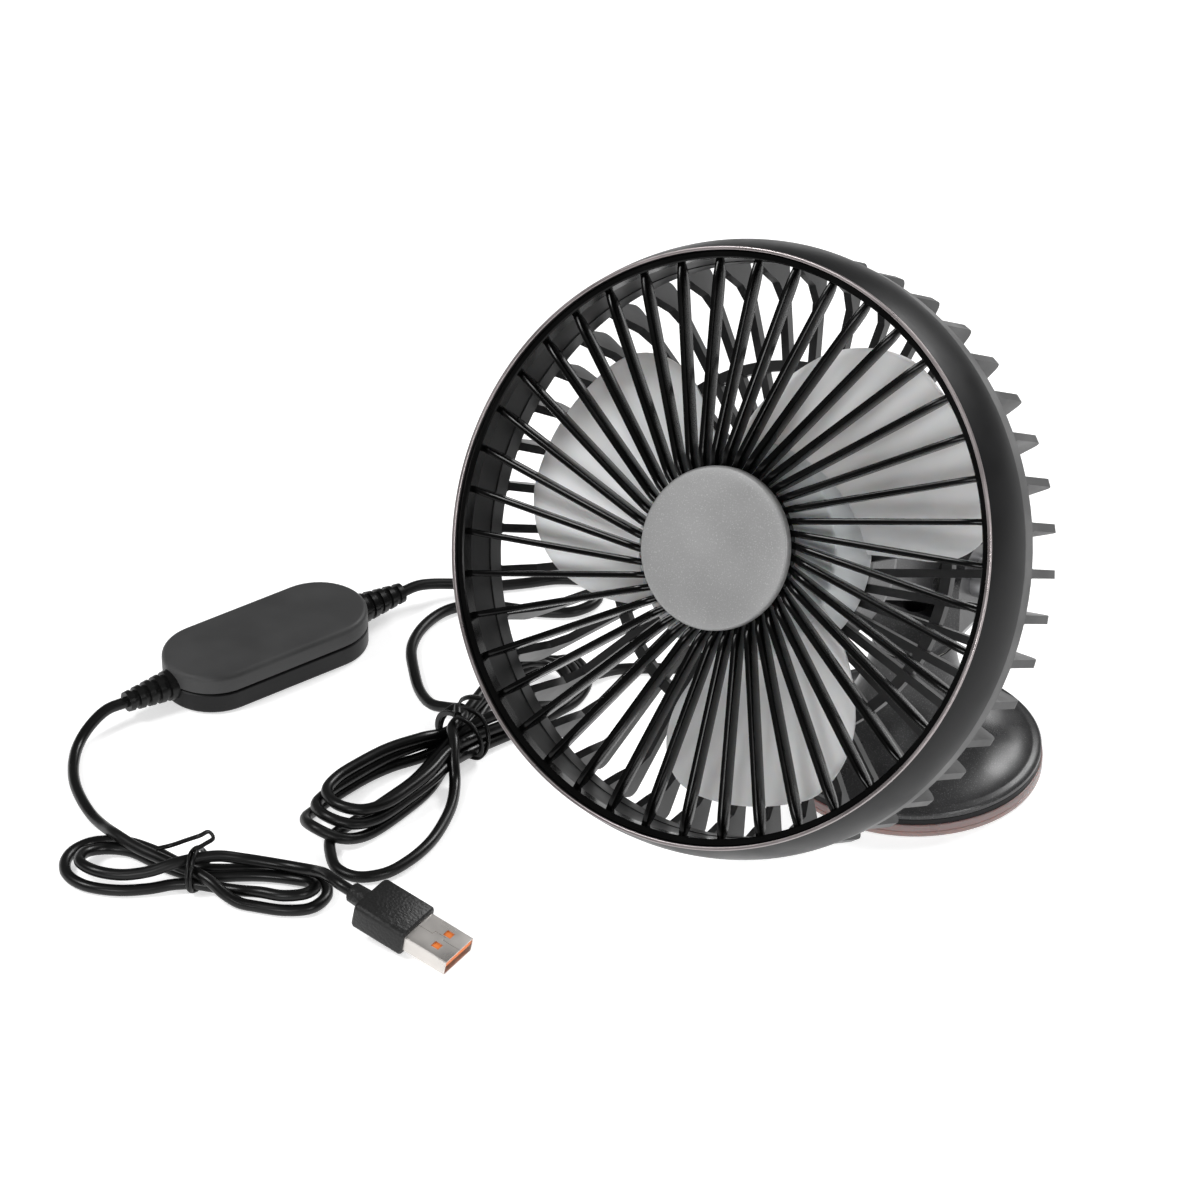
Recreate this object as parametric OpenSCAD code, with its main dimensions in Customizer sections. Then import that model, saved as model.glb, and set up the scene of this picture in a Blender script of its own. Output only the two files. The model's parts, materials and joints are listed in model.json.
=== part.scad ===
// Small desk fan on a round gel-pad base. A swivel and a tilt hinge carry the caged head, and
// its USB lead runs through two tied hanks and a slide-switch controller.
// Millimetres, +Z up, the origin at the centre of the pad's underside, the fan facing -Y.

/* [Base] */
// Radius of the gel pad
base_r = 34.4; // [32:0.2:37]
// Thickness of the gel pad
pad_h = 3.9; // [3.4:0.1:4.4]
// Height of the swivel seat above the desk
neck_z = 38; // [37:0.5:39]
// Radius of the neck at the swivel seat
neck_r = 10.5; // [10:0.1:12]

/* [Hinges] */
// Distance of the tilt hinge behind the base's axis
hinge_y = 6; // [4:0.5:8]
// Height of the tilt hinge
hinge_z = 59; // [58:0.5:62]
// Radius of the hinge knuckle
knuckle_r = 10; // [9:0.5:10]
// Radius of the tilt bolt
bolt_r = 3; // [2.5:0.5:3]
// Radial clearance of every running fit
run_gap = 0.05; // [0.02:0.01:0.1]

/* [Head] */
// Angle of the fan's axis above the horizontal
head_tilt = 30; // [22:1:38]
// Distance from the tilt hinge to the front ring
reach = 119.6; // [116:0.2:124]
// Outer radius of the bright trim ring
ring_r = 70.2; // [69.8:0.1:70.6]
// Largest radius of the rim and the rear cage
rim_r = 72.8; // [72.6:0.1:73.4]
// Depth from the front ring to the back of the rear cage
cage_depth = 36; // [35.5:0.5:37]
// Number of ribs in the front grille and of fins in the rear cage
rib_count = 42; // [30:1:48]
// Distance by which the front ribs pass the axis
front_swirl = 6.3; // [3:0.1:8]
// Distance by which the rear fins pass the axis, the other way
rear_swirl = 5; // [2:0.5:8]
// Radius of the hub cap
cap_r = 19.2; // [18.6:0.2:20]

/* [Impeller] */
// Number of blades
blade_count = 3; // [2:1:3]
// Radius at the blade tips
tip_r = 60.5; // [54:0.5:61.5]
// Radius of the impeller's hub
hub_r = 26; // [25:0.5:26.5]
// Front to back height of a blade
blade_rise = 17; // [14:1:18]

/* [Controller] */
// Length of the controller
pod_l = 60; // [56:1:64]
// Width of the controller
pod_w = 27; // [25:0.5:29]
// Height of the controller
pod_h = 11.5; // [10.5:0.5:12.5]
// Travel of the speed slider
slide_travel = 5; // [4:0.5:6]

/* [Lead] */
// Diameter of the lead
cord_d = 3; // [2.8:0.1:3]

/* [Hidden] */

plate_z = pad_h;
plate_h = 1.5;
shell_z = plate_z + plate_h;
shell_wall = 2;
foot_r = base_r - 0.4;
flare_r = foot_r - 2;
flare_z = shell_z + 2;
flare_top = neck_z + 8;
flare_end_r = neck_r - 0.5;
spindle_r = 6;
wire_r = 3.2;
seat_gap = 0.6;
screw_r = 1.4;

gland_z = 11;
gland_flange_r = 3.9;
gland_x = 33.5;
gland_l = 13.5;
gland_bore = 2.8;
boss_r = 4.4;

ear_in = 9.2;
ear_out = 15;
ear_r = knuckle_r + 1;
knuckle_w = 8.1;
saddle_top = hinge_z - knuckle_r - 0.8;

trim_w = 0.9;
rim_in = ring_r - trim_w;
rim_back = 13.5;
rim_wall = 1.6;
seam = 0.3;
wall_in = rim_in - 1.6;
ledge_z = 4.6;
channel_z = 8.5;
cage_in = rim_r - 5.3;
window_z = 18.8;
fin_out = rim_r - rim_wall;
fin_corner = 2.2;
fillet_r = 2.2;
disc_r = 24;
disc_h = 3.5;
cage_screw_at = 18.5;
cage_screw_r = 1.3;
motor_screw_at = 8.5;
motor_screw_r = 1.2;
fin_t = 2;
fin_h = 2.8;
fin_back = cage_depth - 0.4;
bridge_r = 45.5;
rib_t = 1.5;
grille_in = rim_in - 1.8;
grille_back = ledge_z - 0.2;
rib_front = 1.2;
rib_back = 6;
cap_seat = 1.9;
peg_r = 1.15;
pod_r = 23;
pod_end = 57;
arm_half_h = 9;
arm_screw_r = 1.1;
trough_z = -reach + 14;
cover_z = trough_z + 4.5;
arm_screw_z = [-reach + 24, -pod_end - 10];
flange_screw_y = [-9, 9];

can_front = cage_depth;
can_l = 14;
can_r = 13;
core_r = 8;
shaft_r = 1.5;
impeller_front = 11;
impeller_back = 30.5;
blade_back = 29;
blade_cw = 36.6;
blade_ccw = 55;

cord_r = cord_d / 2;
floor_z = cord_r;
pod_at = [-165, -56];
pod_yaw = 69.5;
pod_split = 5.9;
pod_cord_z = 5.7;
relief_l = 13.5;
relief_start_r = 4.2;
relief_end_r = 2.7;
relief_spigot_r = 2.5;
relief_seat = 0.8;
pod_reach = pod_l / 2 + relief_l;
function pod_axis(x) = [pod_at[0] + x * cos(pod_yaw), pod_at[1] + x * sin(pod_yaw), pod_cord_z];

hank_1_at = [-100, -64];
hank_1_size = [106, 20, 9.5];
hank_1_yaw = 81.7;
hank_2_at = [-122, -143.5];
hank_2_size = [73, 22, 7.5];
hank_2_yaw = 21;

usb_w = 12;
usb_h = 4.5;
usb_l = 12.4;
usb_wall = 0.3;
plug_at = [-61, -134.6, 4.83];
plug_pitch = 12;
mould = [15.2, 14, 7.6];
neck_l = 5;
function plug_axis(x) = plug_at + x * [-cos(plug_pitch), 0, sin(plug_pitch)];

base_route = [[-gland_x - gland_l, 0, gland_z], [-53, 0, 10.6], [-59, 0, 8.6],
    [-65, -0.4, 5.4], [-71, -1.6, 2.7], [-78, -4, floor_z], [-84, -8.5, floor_z],
    [-88, -14, floor_z], [-91, -20, floor_z]];
loop_route = [[-96, -70, floor_z], [-91, -75, floor_z], [-87, -82, floor_z], [-84, -90, floor_z],
    [-82, -99, floor_z], [-82, -108, floor_z], [-84, -116, floor_z], [-89, -121, floor_z],
    [-95, -121, floor_z], [-100, -117, floor_z], [-104, -111, floor_z]];
lead_route = [[-101, -51, 6.5], [-108, -52, 5.4], [-115, -50.5, 2.8],
    [-122, -46, floor_z], [-129, -39, floor_z], [-136, -30, floor_z], [-139, -20, floor_z],
    [-138, -10, floor_z], [-132, -3, floor_z], [-124, 0, floor_z], [-116, 3, floor_z],
    [-109, 8, floor_z], [-107, 16, floor_z], [-113, 22, floor_z], [-121, 19, floor_z],
    [-128, 12, floor_z], [-135, 5, 1.9], [-142, -2, 4], for (d = [6, 0]) pod_axis(pod_reach + d)];
usb_route = [for (d = [0, 6]) pod_axis(-pod_reach - d), [-183, -109, 4], [-182, -115, 2.2],
    [-178.5, -121.5, floor_z], [-173, -128, floor_z], [-166, -133.5, floor_z],
    [-160, -137, floor_z], [-154, -140, 2.6], [-148, -143, 4.3]];
plug_route = [for (d = [0, 3]) plug_axis(mould[0] + neck_l + d), [-87.5, -133.4, 9.4],
    [-91.5, -131.3, 8], [-96, -129.4, 5.8]];

// A flare whose radius grows from the neck to the foot along a quarter ellipse
function flare(a, inset) = [flare_r - inset - (flare_r - flare_end_r) * cos(a),
    flare_top - (flare_top - flare_z + inset) * sin(a)];
function flare_angle(z) = asin((flare_top - z) / (flare_top - flare_z));

// Circle of a swept tube's ring at a route point, square to the route
function unit(v) = v / norm(v);
function heading(p, i) = unit(p[min(i + 1, len(p) - 1)] - p[max(i - 1, 0)]);
function side(t) = unit(cross([0, 0, 1], t));
function tube_ring(c, t, r, n) = let (s = side(t), u = cross(t, s))
    [for (k = [0:n - 1]) c + r * (cos(360 * k / n) * s + sin(360 * k / n) * u)];

module tube(route, r, n = 8) {
    m = len(route);
    rings = [for (i = [0:m - 1]) each tube_ring(route[i], heading(route, i), r, n)];
    walls = [for (i = [0:m - 2], k = [0:n - 1]) let (j = (k + 1) % n)
        [i * n + k, (i + 1) * n + k, (i + 1) * n + j, i * n + j]];
    polyhedron(rings, concat([[for (k = [0:n - 1]) k]], walls,
        [[for (k = [n - 1:-1:0]) (m - 1) * n + k]]), convexity = 8);
}

// The head's own frame: +Z forwards along the fan's axis from the front ring's plane, +Y up
module in_head() {
    translate([0, hinge_y, hinge_z]) rotate([90 - head_tilt, 0, 0]) translate([0, 0, reach])
        children();
}

module around(count, start = 0) {
    for (i = [0:count - 1]) rotate([0, 0, start + 360 * i / count]) children();
}

module ring(r_out, r_in, z_low, z_high) {
    translate([0, 0, z_low]) difference() {
        cylinder(r = r_out, h = z_high - z_low, $fn = 128);
        translate([0, 0, -1]) cylinder(r = r_in, h = z_high - z_low + 2, $fn = 128);
    }
}

module stadium(l, w) {
    square([l - w, w], center = true);
    for (s = [-1, 1]) translate([s * (l - w) / 2, 0]) circle(d = w, $fn = 64);
}

module screw(head_r, head_h, shank_r, l) {
    difference() {
        cylinder(r = head_r, h = head_h, $fn = 32);
        translate([0, 0, -1]) cylinder(r = head_r / 2, h = head_h / 2 + 1, $fn = 6);
    }
    translate([0, 0, head_h]) cylinder(r = shank_r, h = l, $fn = 32);
}

// Base -----------------------------------------------------------------------------------

module gel_pad() {
    groove = 0.5;
    color([0.78, 0.70, 0.68, 0.8]) rotate_extrude($fn = 128) polygon([[0, 0], [base_r - 0.8, 0],
        [base_r, 0.8], [base_r, pad_h / 2 - groove], [base_r - groove, pad_h / 2],
        [base_r, pad_h / 2 + groove], [base_r, pad_h], [0, pad_h]]);
}

module base_plate() {
    color([0.12, 0.12, 0.12]) difference() {
        translate([0, 0, plate_z]) cylinder(r = foot_r, h = plate_h, $fn = 128);
        around(3, 90) translate([24, 0, plate_z - 1]) cylinder(r = screw_r + 0.2, h = 4, $fn = 32);
        around(3, 90) translate([24, 0, plate_z - 1]) cylinder(r = 2.8, h = 2, $fn = 32);
    }
}

module base_weight() {
    color([0.45, 0.45, 0.47]) ring(19, spindle_r + 4, shell_z + 0.2, shell_z + 4.2);
}

module base_shell() {
    steps = 14;
    top = flare_angle(neck_z);
    outer = [for (i = [0:steps]) flare(90 + (top - 90) * i / steps, 0)];
    inner = [for (i = [0:steps]) flare(top + (82 - top) * i / steps, shell_wall)];
    color([0.16, 0.16, 0.16]) difference() {
        union() {
            rotate_extrude($fn = 128) polygon(concat([[foot_r - 3, shell_z], [foot_r, shell_z],
                [foot_r, flare_z - 0.7], [foot_r - 0.5, flare_z - 0.3],
                [flare_r + 0.7, flare_z - 0.3]], outer,
                [[spindle_r + run_gap, neck_z], [spindle_r + run_gap, neck_z - 8],
                [neck_r - 1.5, neck_z - 8]],
                [for (p = inner) if (p[1] < neck_z - 8.5 && p[1] > shell_z + 1) p],
                [[foot_r - 4, shell_z + 0.8]]));
            around(3, 90) translate([24, 0, shell_z]) cylinder(r = 3.4, h = 2.6, $fn = 32);
            translate([-gland_x, 0, gland_z]) rotate([0, 90, 0])
                cylinder(r = boss_r, h = 14, $fn = 48);
        }
        around(3, 90) translate([24, 0, shell_z - 1]) cylinder(r = screw_r, h = 3.6, $fn = 32);
        translate([-gland_x - 1, 0, gland_z]) rotate([0, 90, 0])
            cylinder(r = gland_bore, h = 22, $fn = 48);
    }
}

module base_screws() {
    color([0.5, 0.5, 0.52]) around(3, 90) translate([24, 0, plate_z]) screw(2.6, 1, screw_r, 2.4);
}

module swivel_washer() {
    color([0.85, 0.85, 0.82]) ring(neck_r - 0.5, spindle_r + 0.4, neck_z, neck_z + seat_gap / 2);
}

module cord_gland() {
    color([0.08, 0.08, 0.08]) translate([-gland_x, 0, gland_z]) rotate([0, -90, 0])
        rotate_extrude($fn = 48) polygon([[0, -10], [gland_bore, -10], [gland_bore, 0],
            [gland_flange_r, 0], [gland_flange_r, 1.5], [3.3, 2], [3.3, 4], [2.7, 4.4], [2.7, 5], [3.1, 5.4], [3, 7],
            [2.5, 7.4], [2.5, 8], [2.8, 8.4], [2.7, 10], [2.2, 10.4], [2.2, 11], [2.5, 11.4],
            [2.4, gland_l], [0, gland_l]]);
}

// Swivel and tilt hinge --------------------------------------------------------------------

module across(x, r, l) {
    translate([x, hinge_y, hinge_z]) rotate([0, 90, 0]) cylinder(r = r, h = l, $fn = 64);
}

module yoke() {
    low = neck_z + seat_gap;
    color([0.14, 0.14, 0.14]) difference() {
        union() {
            hull() {
                translate([0, 0, low]) cylinder(r = neck_r, h = 1.5, $fn = 32);
                translate([-ear_out, hinge_y - ear_r + 2, saddle_top - 1.5])
                    cube([2 * ear_out, 2 * ear_r - 4, 1.5]);
            }
            for (s = [-1, 1]) {
                across(s > 0 ? ear_in : -ear_out, ear_r, ear_out - ear_in);
                translate([s > 0 ? ear_in : -ear_out, hinge_y - ear_r + 1, saddle_top - 1.5])
                    cube([ear_out - ear_in, 2 * ear_r - 2, hinge_z - saddle_top + 1.5]);
            }
            translate([0, 0, neck_z - 13]) cylinder(r = spindle_r, h = 15, $fn = 64);
        }
        translate([0, 0, neck_z - 20]) cylinder(r = wire_r, h = 40, $fn = 48);
        across(-ear_out - 1, bolt_r, 2 * ear_out + 2);
        across(-ear_in, knuckle_r + 0.8, 2 * ear_in);
    }
}

module spindle_nut() {
    color([0.6, 0.6, 0.6]) translate([0, 0, neck_z - 11.3]) difference() {
        cylinder(r = 9, h = 3, $fn = 6);
        translate([0, 0, -1]) cylinder(r = spindle_r, h = 5, $fn = 64);
    }
}

module tilt_bolt() {
    color([0.55, 0.55, 0.56]) difference() {
        union() {
            across(-ear_out - 2.6, bolt_r, 2 * ear_out + 2.6);
            across(ear_out, 5.4, 3);
        }
        translate([ear_out + 1.5, hinge_y, hinge_z]) rotate([0, 90, 0])
            cylinder(r = 2.3, h = 2, $fn = 6);
    }
}

module tilt_nut() {
    color([0.55, 0.55, 0.56]) difference() {
        translate([-ear_out - 2.4, hinge_y, hinge_z]) rotate([0, 90, 0])
            cylinder(r = 5.6, h = 2.4, $fn = 6);
        across(-ear_out - 4, bolt_r, 8);
    }
}

module friction_washers() {
    thick = 0.8;
    color([0.85, 0.85, 0.82]) for (x = [ear_in - thick, -ear_in]) difference() {
        across(x, knuckle_r - 2, thick);
        across(x - 1, bolt_r + 0.2, thick + 2);
    }
}

// Head: arm and motor housing ---------------------------------------------------------------

// The channel along the arm's underside that its wires lie in, open at the hinge end
module arm_trough() {
    translate([-5, -arm_half_h - 1, trough_z]) cube([10, 13, -pod_end - 6 - trough_z]);
}

module tilt_arm() {
    color([0.14, 0.14, 0.14]) difference() {
        in_head() difference() {
            union() {
                translate([-8, -arm_half_h, -reach])
                    cube([16, 2 * arm_half_h, reach - pod_end - 5]);
                hull() {
                    translate([-8, -arm_half_h, -pod_end - 6]) cube([16, 2 * arm_half_h, 1]);
                    translate([0, 0, -pod_end - 1]) cylinder(r = 14, h = 1, $fn = 32);
                }
                translate([0, 0, -reach]) rotate([0, 90, 0])
                    cylinder(r = knuckle_r, h = 2 * knuckle_w, center = true, $fn = 64);
            }
            difference() {
                arm_trough();
                for (z = arm_screw_z) translate([0, 2 - arm_half_h, z]) rotate([-90, 0, 0])
                    cylinder(r = 2.2, h = 12, $fn = 32);
            }
            for (z = arm_screw_z) translate([0, -arm_half_h, z]) rotate([-90, 0, 0])
                cylinder(r = arm_screw_r, h = 5.4, $fn = 24);
            for (y = flange_screw_y) translate([0, y, -pod_end - 3.4])
                cylinder(r = cage_screw_r, h = 5, $fn = 24);
            translate([0, 0, -pod_end - 8]) cylinder(r = wire_r, h = 10, $fn = 48);
        }
        across(-ear_out, bolt_r + run_gap, 2 * ear_out);
    }
}

module arm_cover() {
    color([0.12, 0.12, 0.12]) in_head() difference() {
        translate([-4.9, -arm_half_h, cover_z]) cube([9.8, 2, -pod_end - 6.1 - cover_z]);
        for (z = arm_screw_z) translate([0, -arm_half_h - 1, z]) rotate([-90, 0, 0])
            cylinder(r = arm_screw_r, h = 5, $fn = 24);
    }
}

module arm_screws() {
    color([0.5, 0.5, 0.52]) in_head() union() {
        for (z = arm_screw_z) translate([0, -arm_half_h - 0.8, z]) rotate([-90, 0, 0])
            screw(1.9, 0.8, arm_screw_r, 5);
        for (y = flange_screw_y) translate([0, y, -pod_end + 2.8]) rotate([180, 0, 0])
            screw(2.3, 1, cage_screw_r, 5);
    }
}

module motor_housing() {
    steps = 8;
    start = -cage_depth;
    depth = pod_end - cage_depth;
    outer = [for (i = [0:steps]) let (a = 90 * i / steps)
        [14 + (pod_r - 14) * cos(a), start - depth + 7 - 7 * sin(a)]];
    inner = [for (i = [steps:-1:0]) let (a = 90 * i / steps)
        [13 + (pod_r - 15) * cos(a), start - depth + 8.8 - 7 * sin(a)]];
    color([0.15, 0.15, 0.15]) in_head() difference() {
        union() {
            rotate_extrude($fn = 96) polygon(concat([[pod_r, start]], outer,
                [[wire_r, start - depth], [wire_r, start - depth + 1.8]], inner,
                [[pod_r - 2, start]]));
            around(3, 30) translate([cage_screw_at, 0, start - 6])
                cylinder(r = 2.8, h = 6, $fn = 32);
        }
        around(3, 30) translate([cage_screw_at, 0, start - 5])
            cylinder(r = cage_screw_r, h = 6, $fn = 24);
        for (y = flange_screw_y) translate([0, y, start - depth - 1])
            cylinder(r = cage_screw_r, h = 4, $fn = 24);
        for (k = [-2:2]) rotate([0, 0, 90]) translate([pod_r - 6, 3.2 * k - 0.8, start - depth + 9])
            cube([12, 1.6, 5]);
    }
}

// Head: cage ---------------------------------------------------------------------------------

module cage_fin() {
    arc = [for (a = [0:18:90]) [fin_out - fin_corner + fin_corner * cos(a),
        fin_corner - fin_back - fin_corner * sin(a)]];
    translate([0, -rear_swirl + fin_t / 2, 0]) rotate([90, 0, 0]) linear_extrude(fin_t)
        polygon(concat([[cage_in + 1, -rim_back - 2], [fin_out + 0.4, -rim_back - 2]], arc,
            [[disc_r - 2, -fin_back], [disc_r - 2, fin_h - fin_back],
            [cage_in - 8, fin_h - fin_back], [cage_in - 4, -29.5], [cage_in - 2, -24],
            [cage_in + 0.7, 0.6 - window_z]]));
}

// Rounds both corners between a fin and the wall that it springs from
module fin_root() {
    y = fin_t / 2 + fillet_r;
    edge = [for (a = [0:22.5:90]) [y - fillet_r * sin(a), -window_z - fillet_r + fillet_r * cos(a)]];
    half = concat([[y + 0.2, 0.5 - window_z]], edge, [[fin_t / 2 - 0.2, -window_z - fillet_r - 0.1]]);
    translate([cage_in + 0.4, -rear_swirl, 0]) rotate([90, 0, 90])
        linear_extrude(fin_out - cage_in - 0.3) polygon(concat(half,
            [for (i = [len(half) - 1:-1:0]) [-half[i][0], half[i][1]]]));
}

module rear_cage() {
    tongue_in = rim_in + 0.3;
    tongue_out = fin_out - 0.3;
    color([0.3, 0.3, 0.3]) in_head() difference() {
        union() {
            around(rib_count) union() {
                cage_fin();
                fin_root();
            }
            rotate_extrude($fn = 128) polygon([[cage_in, -window_z], [cage_in, -rim_back - seam],
                [tongue_in, -rim_back - seam], [tongue_in, 3 - rim_back], [tongue_out, 3 - rim_back],
                [tongue_out, -rim_back - seam], [rim_r - 0.3, -rim_back - seam],
                [rim_r - 0.7, -window_z]]);
            ring(bridge_r, bridge_r - 2.6, -cage_depth + 0.2, -cage_depth + 2.7);
            ring(disc_r, 5, -cage_depth, -cage_depth + disc_h);
        }
        around(3, 30) translate([cage_screw_at, 0, -cage_depth - 1])
            cylinder(r = cage_screw_r, h = 8, $fn = 24);
        around(2) translate([motor_screw_at, 0, -cage_depth - 1])
            cylinder(r = motor_screw_r, h = 8, $fn = 24);
    }
}

module cage_screws() {
    color([0.5, 0.5, 0.52]) in_head() around(3, 30)
        translate([cage_screw_at, 0, -cage_depth + disc_h + 1.2]) rotate([180, 0, 0])
            screw(2.3, 1.2, cage_screw_r, disc_h + 4);
}

// A channel open to the back: its flank bulges from the trim to the seam, and the cage's tongue
// sits between its two walls
module front_rim() {
    flank = [for (t = [0:0.125:1]) [ring_r + (rim_r - ring_r) * (1 - pow(1 - t, 2)), -rim_back * t]];
    color([0.1, 0.1, 0.1]) in_head() rotate_extrude($fn = 128) polygon(concat([[rim_in, 0]],
        flank, [[fin_out, -rim_back], [fin_out - 0.2, -channel_z], [rim_in, -channel_z],
        [rim_in, -rim_back], [wall_in, -rim_back], [wall_in, -ledge_z], [rim_in, -ledge_z]]));
}

module trim_ring() {
    color([0.78, 0.74, 0.74]) in_head() rotate_extrude($fn = 128) polygon([[rim_in, 0],
        [ring_r, 0], [ring_r, 0.4], [ring_r - 0.2, 0.6], [rim_in + 0.2, 0.6], [rim_in, 0.4]]);
}

// A straight rib that passes the axis at the swirl distance, sunk under the hub cap, its outer
// end hooked backwards
module grille_rib() {
    x_in = 16;
    x_cap = sqrt(pow(cap_r + 0.5, 2) - pow(front_swirl - rib_t / 2, 2));
    x_out = sqrt(pow(grille_in + 0.6, 2) - pow(front_swirl, 2));
    translate([0, front_swirl + rib_t / 2, 0]) rotate([90, 0, 0]) linear_extrude(rib_t)
        polygon([[x_in, -cap_seat - 0.2], [x_cap, -cap_seat - 0.2], [x_cap + 2, -rib_front],
            [x_out - 5, -rib_front], [x_out, -rib_front - 1.2], [x_out, 0.3 - grille_back],
            [x_out - 2, 0.3 - grille_back], [x_out - 4, -rib_back], [x_in, -rib_back]]);
}

module front_grille() {
    color([0.05, 0.05, 0.05]) in_head() union() {
        around(rib_count) grille_rib();
        ring(rim_in - 0.1, grille_in, -grille_back, -0.5);
        ring(18.2, peg_r + run_gap, 0.4 - rib_back, -cap_seat - 0.4);
    }
}

module hub_cap() {
    color([0.5, 0.5, 0.5]) in_head() union() {
        rotate_extrude($fn = 96) polygon([[0, -cap_seat], [cap_r - 0.8, -cap_seat],
            [cap_r, -1.2], [cap_r, 0.1], [cap_r - 0.9, 0.8], [cap_r - 6, 1.1], [0, 1.2]]);
        translate([0, 0, -cap_seat - 2.6]) cylinder(r = peg_r, h = 3, $fn = 32);
    }
}

// Head: motor ----------------------------------------------------------------------------------

module motor_can() {
    color([0.6, 0.6, 0.6]) in_head() difference() {
        translate([0, 0, -can_front - can_l]) cylinder(r = can_r, h = can_l, $fn = 64);
        translate([0, 0, -can_front - can_l - 1]) cylinder(r = can_r - 1, h = can_l - 0.5, $fn = 64);
        translate([0, 0, -can_front - 3]) cylinder(r = 4, h = 4, $fn = 48);
        around(2) translate([motor_screw_at, 0, -can_front - 2])
            cylinder(r = motor_screw_r, h = 4, $fn = 24);
    }
}

module motor_magnets() {
    color([0.25, 0.25, 0.25]) in_head() for (a = [0, 180]) rotate([0, 0, a])
        intersection() {
            ring(can_r - 1.05, core_r + 0.8, -can_front - 12, -can_front - 3);
            translate([-7, 3, -can_front - 13]) cube([14, 12, 12]);
        }
}

module motor_end_cap() {
    color([0.85, 0.85, 0.8]) in_head() ring(can_r - 1.05, 4, -can_front - can_l, -can_front - 12.2);
}

module motor_screws() {
    color([0.5, 0.5, 0.52]) in_head() around(2)
        translate([motor_screw_at, 0, -cage_depth + disc_h + 0.8]) rotate([180, 0, 0])
            screw(2, 0.8, motor_screw_r, disc_h + 1);
}

module motor_board() {
    color([0.1, 0.35, 0.2]) in_head() union() {
        translate([-8, -9, -can_front - can_l - 2.2]) cube([16, 18, 1.2]);
        translate([3, 4, -can_front - can_l - 3.4]) cube([3, 3, 1.2]);
    }
}

module front_bearing() {
    color([0.7, 0.6, 0.4]) in_head() ring(4, shaft_r + run_gap, -can_front - 2, -can_front + 2);
}

module rear_bearing() {
    color([0.7, 0.6, 0.4]) in_head()
        ring(4, shaft_r + run_gap, -can_front - can_l, -can_front - can_l + 2.4);
}

// Impeller ------------------------------------------------------------------------------------

// Blade surface at radius r and chord fraction v. The clockwise edge is nearly radial and lies
// at the back; the other sweeps back towards it, and both tip corners are rounded
function tip_trim(r, c) = let (d = max(0, r - tip_r + c)) (c - sqrt(max(0, c * c - d * d))) * 57.3 / r;
function edge_cw(r) = -blade_cw - 0.1 * (r - hub_r) + tip_trim(r, 20);
function edge_ccw(r) = blade_ccw - (r - hub_r) - tip_trim(r, 12);
function blade_point(r, v, up) = let (a = edge_cw(r) + (edge_ccw(r) - edge_cw(r)) * v)
    [r * cos(a), r * sin(a), -blade_back + up + blade_rise * (a + blade_cw + 4)
        / (blade_ccw + blade_cw) + 1.6 * sin(180 * v) * (r / tip_r)];

module blade() {
    rows = 10;
    cols = 10;
    thick = 1.5;
    radii = [for (i = [0:rows]) hub_r - 0.6 + (tip_r - hub_r + 0.6) * sin(90 * i / rows)];
    n = cols + 1;
    sheet = function (up) [for (i = [0:rows], j = [0:cols]) blade_point(radii[i], j / cols, up)];
    total = (rows + 1) * n;
    top_faces = [for (i = [0:rows - 1], j = [0:cols - 1]) let (a = i * n + j)
        each [[a, a + 1, a + n + 1], [a, a + n + 1, a + n]]];
    low_faces = [for (f = top_faces) [f[2] + total, f[1] + total, f[0] + total]];
    border = concat([for (j = [0:cols - 1]) j], [for (i = [0:rows - 1]) i * n + cols],
        [for (j = [cols:-1:1]) rows * n + j], [for (i = [rows:-1:1]) i * n]);
    m = len(border);
    rim_faces = [for (k = [0:m - 1]) let (a = border[k], b = border[(k + 1) % m])
        each [[a, a + total, b + total], [a, b + total, b]]];
    polyhedron(concat(sheet(thick / 2), sheet(-thick / 2)),
        concat(top_faces, low_faces, rim_faces), convexity = 6);
}

module impeller() {
    color([0.84, 0.84, 0.83]) in_head() difference() {
        union() {
            difference() {
                translate([0, 0, -impeller_back])
                    cylinder(r = hub_r, h = impeller_back - impeller_front, $fn = 96);
                translate([0, 0, -impeller_back - 1])
                    cylinder(r = hub_r - 1.6, h = impeller_back - impeller_front - 1, $fn = 96);
            }
            translate([0, 0, -27]) cylinder(r = 4, h = 26 - impeller_front, $fn = 48);
            around(6) translate([3, -0.6, -22]) cube([hub_r - 4, 1.2, 21 - impeller_front]);
            around(blade_count, 52) blade();
        }
        translate([0, 0, -impeller_back - 1]) cylinder(r = shaft_r, h = 40, $fn = 48);
    }
}

module motor_shaft() {
    color([0.75, 0.75, 0.76]) in_head()
        translate([0, 0, -can_front - can_l - 0.6]) cylinder(r = shaft_r, h = 40, $fn = 48);
}

module rotor_core() {
    color([0.55, 0.35, 0.2]) in_head() union() {
        ring(core_r, shaft_r, -can_front - 10, -can_front - 5);
        ring(3.4, shaft_r, -can_front - 11, -can_front - 10);
    }
}

module impeller_clip() {
    color([0.7, 0.7, 0.7]) in_head() ring(3, shaft_r, -impeller_front, -impeller_front + 0.8);
}

// Controller ------------------------------------------------------------------------------------

module at_pod() {
    translate([pod_at[0], pod_at[1], 0]) rotate([0, 0, pod_yaw]) children();
}

module slider_slot() {
    translate([-slide_travel / 2 - 3.3, pod_w / 2 - 4, pod_split - 1.7])
        cube([slide_travel + 6.6, 8, 3.4]);
}

// Hole and counterbore that each strain relief sits in
module relief_seats() {
    for (s = [0, 180]) rotate([0, 0, s]) translate([pod_l / 2, 0, pod_cord_z]) rotate([0, 90, 0]) {
        cylinder(r = relief_spigot_r, h = 8, center = true, $fn = 48);
        translate([0, 0, -relief_seat]) cylinder(r = relief_start_r, h = 4, $fn = 48);
    }
}

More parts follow.
